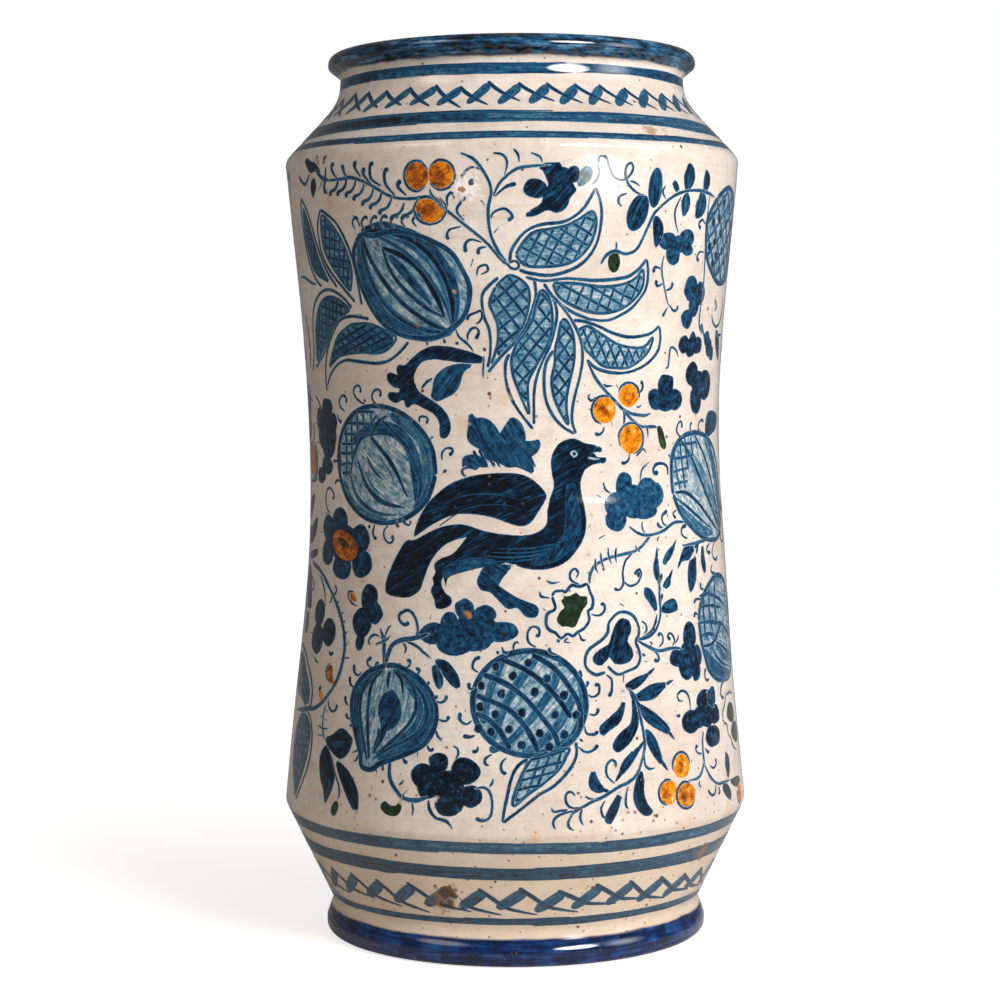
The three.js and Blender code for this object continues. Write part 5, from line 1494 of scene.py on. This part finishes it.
# The side that the photograph doesn't show has the same plants again, moved, turned and mirrored. Its girths run on
# past the right edge of the front, from 108 to 359.
def paintBack():
    for motif in (leafFan, centralStem, topLeftSprig, twinBerries, darkFlower, scribble):
        again(motif, (0, 222), (262, 222), mirror=True)
    for motif, own, to, turn, mirror in (
            (twinBerries, (-26, 250), (119, 250), 10, False), (leftLeaves, (-70, 215), (141, 214), 0, True),
            (bigPomegranate, (-35, 222), (188, 224), -12, False), (sideFruit, (93, 237), (303, 214), 8, True),
            (rightSprig, (55, 245), (338, 208), -50, False), (leftCluster, (-88, 170), (121, 168), 0, True),
            (stripedMelon, (-50, 163), (170, 158), 6, True), (acanthusCurl, (-27, 190), (222, 172), 165, False),
            (orangeHeartFlower, (-69, 136), (219, 136), 35, False), (sideMelon, (80, 154), (272, 152), 0, True),
            (midBlossom, (44, 150), (328, 168), 80, False), (greenFlower, (18, 117), (318, 128), 5, False),
            (tickedVine, (-75, 95), (139, 92), 0, True), (dottedFruit, (4.5, 87), (190, 86), 4, True),
            (willowSprig, (35, 72), (233, 76), 0, True), (onionFruit, (-40, 82), (283, 82), 0, False),
            (lowBlossom, (-25, 60), (322, 60), 0, True), (trefoil, (35, 105), (339, 98), 0, True),
            (underBird, (-20, 105), (240, 116), 12, True), (lowBlossom, (-25, 60), (130, 57), 0, False),
            (lowBlossom, (-25, 60), (137, 178), 40, False), (greenFlower, (18, 117), (125, 136), 20, True),
            (trefoil, (35, 105), (187, 123), 30, False), (twinBerries, (-26, 250), (306, 150), 150, False),
            (twinBerries, (-26, 250), (207, 251), 200, False), (lowBlossom, (-25, 60), (362, 184), 110, True),
            (greenFlower, (18, 117), (350, 240), 20, False), (acanthusCurl, (-27, 190), (352, 124), -60, False)):
        again(motif, own, to, turn, mirror)


def rawMesh(name, points, edges=(), faces=(), **attributes):
    mesh = bpy.data.meshes.new(name)
    mesh.from_pydata(points, edges, faces)
    for label, values in attributes.items():
        kind = "INT" if label == "patch" else "FLOAT_VECTOR" if label == "flow" else "FLOAT"
        data = mesh.attributes.new(label, kind, "POINT").data
        if kind == "FLOAT_VECTOR":
            data.foreach_set("vector", [v for value in values for v in value])
        else:
            data.foreach_set("value", values)
    return mesh


def strokeMesh(name, strokes):
    points, edges, width, tone, ground, lifts, seed = [], [], [], [], [], [], []
    for i, stroke in enumerate(strokes):
        count = len(stroke["points"])
        edges += [(len(points) + k, len(points) + k + 1) for k in range(count - 1)]
        points += [(p.x, p.y, 0) for p in stroke["points"]]
        width += stroke["widths"]
        tone += [stroke["tone"]] * count
        ground += [stroke["ground"]] * count
        lifts += stroke.get("lifts") or [layers[stroke["layer"]] + 0.0009 * (i % 10)] * count
        seed += [i * 1.7] * count
    return rawMesh(name, points, edges, width=width, tone=tone, ground=ground, lift=lifts, seed=seed)


def isInside(point, loop):
    inside = False
    for a, b in zip(loop, loop[1:] + loop[:1]):
        if (a.y > point.y) != (b.y > point.y) and point.x < a.x + (b.x - a.x) * (point.y - a.y) / (b.y - a.y):
            inside = not inside
    return inside


# Points inside the outlines, in rows, kept a little away from their common border
def innerPoints(loops, spacing=1.5):
    border = [p for loop in loops for p in loop
              if not any(isInside(p, other) for other in loops if other is not loop)]
    low = Vector((min(p.x for p in border), min(p.y for p in border)))
    high = Vector((max(p.x for p in border), max(p.y for p in border)))
    points = []
    for row in range(int((high.y - low.y) / (spacing * 0.87)) + 1):
        for column in range(int((high.x - low.x) / spacing) + 1):
            point = low + Vector((column + 0.25 + row % 2 * 0.5, (row + 0.5) * 0.87)) * spacing
            if any(isInside(point, loop) for loop in loops) and min((point - p).length for p in border) > 0.55:
                points.append(point)
    return points or [sum(border, Vector((0, 0))) / len(border)]


def patchMesh(name, patches, lift):
    points, faces, number, tone, ground, lifts, flow = [], [], [], [], [], [], []
    for i, item in enumerate(patches):
        loops = item["loops"]
        corners, rings = [], []
        for loop in loops:
            rings.append(list(range(len(corners), len(corners) + len(loop))))
            corners += loop
        made = delaunay_2d_cdt(corners + innerPoints(loops), [], rings, 1, 1e-5)
        turn = Matrix.Rotation(math.pi / 2 - item["grain"], 2)
        for corner in made[2]:
            a, b, c = (made[0][k] for k in corner)
            faces.append([len(points) + k for k in (corner if (b - a).cross(c - a) > 0 else corner[::-1])])
        for p in made[0]:
            across, along = turn @ p
            flow.append((across, along * 0.11, i * 2.3) if item["heart"] is None else (p.x * 0.4, p.y * 0.4, i * 2.3))
        points += [(p.x, p.y, 0) for p in made[0]]
        number += [i] * len(made[0])
        tone += [item["tone"]] * len(made[0])
        ground += [item["ground"]] * len(made[0])
        lifts += [lift + 0.001 * (i % 8) + 0.009 * item["over"]] * len(made[0])
    return rawMesh(name, points, (), faces, patch=number, tone=tone, ground=ground, lift=lifts, flow=flow)


# Bands brushed against the turning wheel: (height, breadth, tone, streaks). The zigzags are a broad stroke up and a
# thin one down that crosses the next.
bands = {
    "rings": [(289.3, 3.2, 0.7, 6), (272.5, 4.1, 0.66, 12), (266.6, 2.1, 0.68, 4),
              (41.3, 3.8, 0.66, 9), (32.7, 4.6, 0.72, 12), (15.0, 2.3, 0.74, 5)],
    # Where the brush came loaded: (ring, from, to, tone)
    "loads": [(0, -118, -62, 0.84), (0, 64, 96, 0.88), (1, -118, -28, 0.93), (1, -40, -8, 0.8), (2, -118, -50, 0.86),
              (3, -118, -40, 0.78), (4, -118, 22, 0.84), (4, -70, -50, 0.9), (5, -100, 40, 0.82)],
    "overlap": 5, "waver": 0.25, "lift": 0.05, "sizes": ((0.92, 0.9, 1.0), (1.08, 1.06, 1.0)),
    "upper": {"Count": 41, "Level": 280.6, "Play": 0.45, "Lean": 0.1, "Seed": 3,
              "strokes": ["-5.4,-3.2 2.4,1.6 4,2.6 2.4,1.4", "2.3,3.5 2.8,-2.2 4.4,-2.6 3,-1.4 2.6,-1.2"],
              "widths": [[1.7, 3.1, 3.4, 2.6], [1.3, 1.4, 1.2, 0.9, 0.5]]},
    "lower": {"Count": 35, "Level": 22.6, "Play": 0.5, "Lean": 0.1, "Seed": 5,
              "strokes": ["-7,-2.7 3,1.3 4.8,2.9 2.6,1.6", ".8,4.2 4.4,-2.9 5.7,-3.5 5.4,-1.3 6.3,-1.1"],
              "widths": [[2.2, 3.7, 4.0, 3.0], [1.4, 1.6, 1.4, 1.0, 0.5]]},
}
girth = 2 * math.pi * drawnRadius


def ringStrokes():
    strokes = []
    for number, (height, breadth, tone, streaks) in enumerate(bands["rings"]):
        phases = [hand.uniform(0, 6.28) for _ in range(4)]
        steps = 90

        def level(at):
            turn = 2 * math.pi * at / girth
            return height + bands["waver"] * (math.sin(2 * turn + phases[0]) + 0.6 * math.sin(5 * turn + phases[1]))

        points = [Vector(((i / steps - 0.5) * (girth + 2 * bands["overlap"]), 0)) for i in range(steps + 1)]
        strokes.append({
            "points": [Vector((p.x, level(p.x))) for p in points], "tone": tone, "ground": 0.0,
            "widths": [breadth * (1 + 0.1 * math.sin(3 * p.x / drawnRadius + phases[2])
                                  + 0.07 * math.sin(11 * p.x / drawnRadius + phases[3])) for p in points],
            "lifts": [bands["lift"] + 0.012 * i / steps for i in range(steps + 1)]})
        # A fresh load of the brush here and there, and darker trails along the edges and within the band
        loads = [(start, end, dark) for ring, start, end, dark in bands["loads"] if ring == number]
        loads += [(start, start + hand.uniform(40, 90), tone + hand.uniform(0.08, 0.2)) for start in (-210, 110, 150)]
        for k, (start, end, dark) in enumerate(loads):
            places = [start + (end - start) * i / 12 for i in range(13)]
            strokes.append({"points": [Vector((x, level(x))) for x in places], "widths": [breadth * 0.9] * 13,
                "tone": dark, "ground": tone, "lifts": [bands["lift"] + 0.014 + 0.001 * k] * 13})
        for k in range(streaks + 6):
            start, long = hand.uniform(-0.5, 0.3) * girth, hand.uniform(30, 130)
            off = hand.choice((-1, 1)) * breadth * (0.46 if k < 6 else hand.uniform(0.15, 0.4))
            places = [start + long * i / 8 for i in range(9)]
            trail = [Vector((x, level(x) + off + hand.uniform(-0.12, 0.12))) for x in places]
            strokes.append({"points": trail, "widths": [hand.uniform(0.35, 0.8) for _ in trail],
                "tone": tone + hand.uniform(0.1, 0.3), "ground": tone,
                "lifts": [bands["lift"] + 0.02 + 0.001 * (k % 8)] * 9})
    return strokes


print("painting the jar")
sagTree = sagGroup()
surfaceTree = glazeGroup()
jarGlaze = makeJarMaterial(surfaceTree)
cobalt, orange, green = (makePigment(name, surfaceTree) for name in pigments)

section = jarSection()
runs = [0.0]
for a, b in zip(section, section[1:]):
    runs.append(runs[-1] + (b - a).length)
sectionMesh = bpy.data.meshes.new("section")
sectionMesh.from_pydata([(p.x, 0, p.y) for p in section], [], [])
sectionMesh.attributes.new("along", "FLOAT", "POINT").data.foreach_set("value", [r / runs[-1] for r in runs])
jarBody = growPiece("jar_body", sectionMesh, turningTree(sagTree), {"Turn Steps": jarShape["turnSteps"],
    "Wobble": jarShape["wobble"], "Wobble Size": jarShape["wobbleSize"], "Seed": jarShape["seed"], "Glaze": jarGlaze})
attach(jarBody, "root")
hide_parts("jar")

wrap = wrapGroup(sagTree)
ribbons = ribbonGroup()
byStroke, byPatch, byBorder = strokeTree(ribbons, wrap), patchTree(wrap), borderTree(ribbons, wrap)
paintFront()
paintBack()


def dress(piece):
    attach(piece, "root")


dress(growPiece("painted_rings", strokeMesh("rings", ringStrokes()), byStroke, {"Jar": jarBody, "Step": 1.0,
    "Pigment": cobalt}))
for name in ("upper", "lower"):
    look = bands[name]
    strokes = [{"points": xy(points), "widths": widths, "tone": 0.7 + 0.17 * i, "ground": 0.6 * i,
                "lifts": [0.05 + 0.006 * i] * len(widths)}
               for i, (points, widths) in enumerate(zip(look["strokes"], look["widths"]))]
    values = {key: look[key] for key in ("Count", "Level", "Play", "Lean", "Seed")}
    dress(growPiece(name + "_zigzag", strokeMesh(name, strokes), byBorder, {"Jar": jarBody, "Girth": girth,
        "Step": 0.6, "Pigment": cobalt, **values}))
for layer, pigment, slot in (
        ("washes", cobalt, "cobalt_paint"), ("fills", cobalt, "cobalt_paint"), ("orange", orange, "antimony_paint"),
        ("green", green, "copper_paint")):
    for side in ("front", "back"):
        patches = [item for item in drawing[layer] if isBack(item["loops"][0]) == (side == "back")]
        dress(growPiece(f"{side}_{layer}", patchMesh(layer, patches, layers[layer]), byPatch, {"Jar": jarBody,
            "Pigment": pigment}))
for side in ("front", "back"):
    dress(growPiece(side + "_lines", strokeMesh(side, drawing[side + "Lines"]), byStroke, {"Jar": jarBody,
        "Step": 0.5, "Pigment": cobalt}))


# Studio: a high window light and a broad sky light to the right, which the upright wall doesn't mirror, and a weak
# high fill to the left. Two small panels near the jar are there for their mirror images, the glints that the photo
# shows on its wall.
studio = {
    "lights": {
        "window": {"place": (0.956, -1.224, 0.84), "size": (0.9, 0.5), "power": 40, "colour": "#fffdff", "soft": 0.3},
        "sky": {"place": (1.59, -0.58, 0.77), "size": (1.2, 1.0), "power": 28, "colour": "#fffdff", "soft": 1.0},
        "fill": {"place": (-1.25, -0.95, 1.45), "size": (1.4, 0.9), "power": 15, "colour": "#fff2e6", "soft": 0.6},
        "wallGlint": {"place": (0.0995, -0.1343, 0.1542), "size": (0.075, 0.0025), "power": 0.009,
                      "colour": "#ffffff", "soft": 1.0},
        "wallGlow": {"place": (0.2467, -0.275, 0.2258), "size": (0.2, 0.036), "power": 0.36,
                     "colour": "#ffffff", "soft": 1.0},
    },
    # Lamps above the second height look down at the first, and lower ones look level
    "aim": 0.15, "aimedFrom": 0.5,
    "tableGlow": (0.1, 0.6, 0.72, 1.0), "tableGap": 0.0002,
    "room": 0.13, "mirrored": 0.05, "backdrop": "#ffffff", "table": "#dedad6", "tableRadius": 1.2,
}


# Each lamp is a soft box: brightest in its middle, and darker towards its edge over the share that is soft
def addLights():
    for name, look in studio["lights"].items():
        data = bpy.data.lights.new(name, "AREA")
        data.shape = "RECTANGLE"
        data.size, data.size_y = look["size"]
        data.energy = look["power"]
        data.color = srgb(look["colour"])[:3]
        add = freshNodes(data)
        onPanel = add("NewGeometry").outputs["Parametric"]
        fromMiddle = add("VectorMath", [onPanel, (0.5, 0.5, 0)], "SUBTRACT")
        fromMiddle = add("VectorMath", [fromMiddle, (2, 2, 0)], "MULTIPLY")
        fromMiddle = add("VectorMath", [fromMiddle], "LENGTH")
        fade = add("MapRange", [fromMiddle, 1.0, 1.0 - look["soft"]], interpolation_type="SMOOTHSTEP")
        glow = add("Emission", {"Strength": fade})
        add("OutputLight", {"Surface": glow})
        lamp = bpy.data.objects.new(name, data)
        lamp.location = look["place"]
        aim = studio["aim"] if lamp.location.z > studio["aimedFrom"] else lamp.location.z
        lamp.rotation_euler = (Vector((0, 0, aim)) - lamp.location).to_track_quat("-Z", "Y").to_euler()
        lamp.visible_camera = False
        scene.collection.objects.link(lamp)


# Light Path: 1 for what the camera sees. Transmitted rays see the pale backdrop too, and mirrored ones a share of
# it, because a full white room in the glaze would lift the darks of the painting.
def seenRay(add):
    path = add("LightPath")
    mirrored = add("Math", [path.outputs["Is Glossy Ray"], studio["mirrored"]], "MULTIPLY")
    seen = add("Math", [path.outputs["Is Camera Ray"], path.outputs["Is Transmission Ray"]], "MAXIMUM")
    return add("Math", [seen, mirrored], "MAXIMUM")


def addRoom():
    world = bpy.data.worlds.new("room")
    scene.world = world
    add = freshNodes(world)
    seen = add("Mix", {0: seenRay(add), 2: studio["room"], 3: 1.0})
    light = add("Background", {"Color": srgb(studio["backdrop"]), "Strength": seen})
    add("OutputWorld", {"Surface": light})


# The table: its own colour under the lamps, and for the camera as much glow as brings it to white away from the jar
def addFloor():
    radius = studio["tableRadius"]
    mesh = bpy.data.meshes.new("floor")
    mesh.from_pydata([(p.x, p.y, 0) for p in ellipse(0, 0, radius, radius, 0, 64)], [], [range(64)])
    floor = bpy.data.objects.new("floor", mesh)
    floor.location.z = -studio["tableGap"]
    scene.collection.objects.link(floor)
    material = bpy.data.materials.new("paleTable")
    add = freshNodes(material)
    shader = add("BsdfPrincipled", {"Base Color": srgb(studio["table"]), "Roughness": 0.7})
    place = add("TexCoord").outputs["Object"]
    away = add("VectorMath", [place], "LENGTH")
    glow = add("MapRange", [away, *studio["tableGlow"]])
    glow = add("Math", [glow, seenRay(add)], "MULTIPLY")
    glow = add("Emission", {"Color": srgb(studio["backdrop"]), "Strength": glow})
    both = add("AddShader", [shader, glow])
    add("OutputMaterial", {"Surface": both})
    mesh.materials.append(material)


addLights()
addRoom()
addFloor()
scene.view_settings.view_transform = "Standard"
print("stage set")
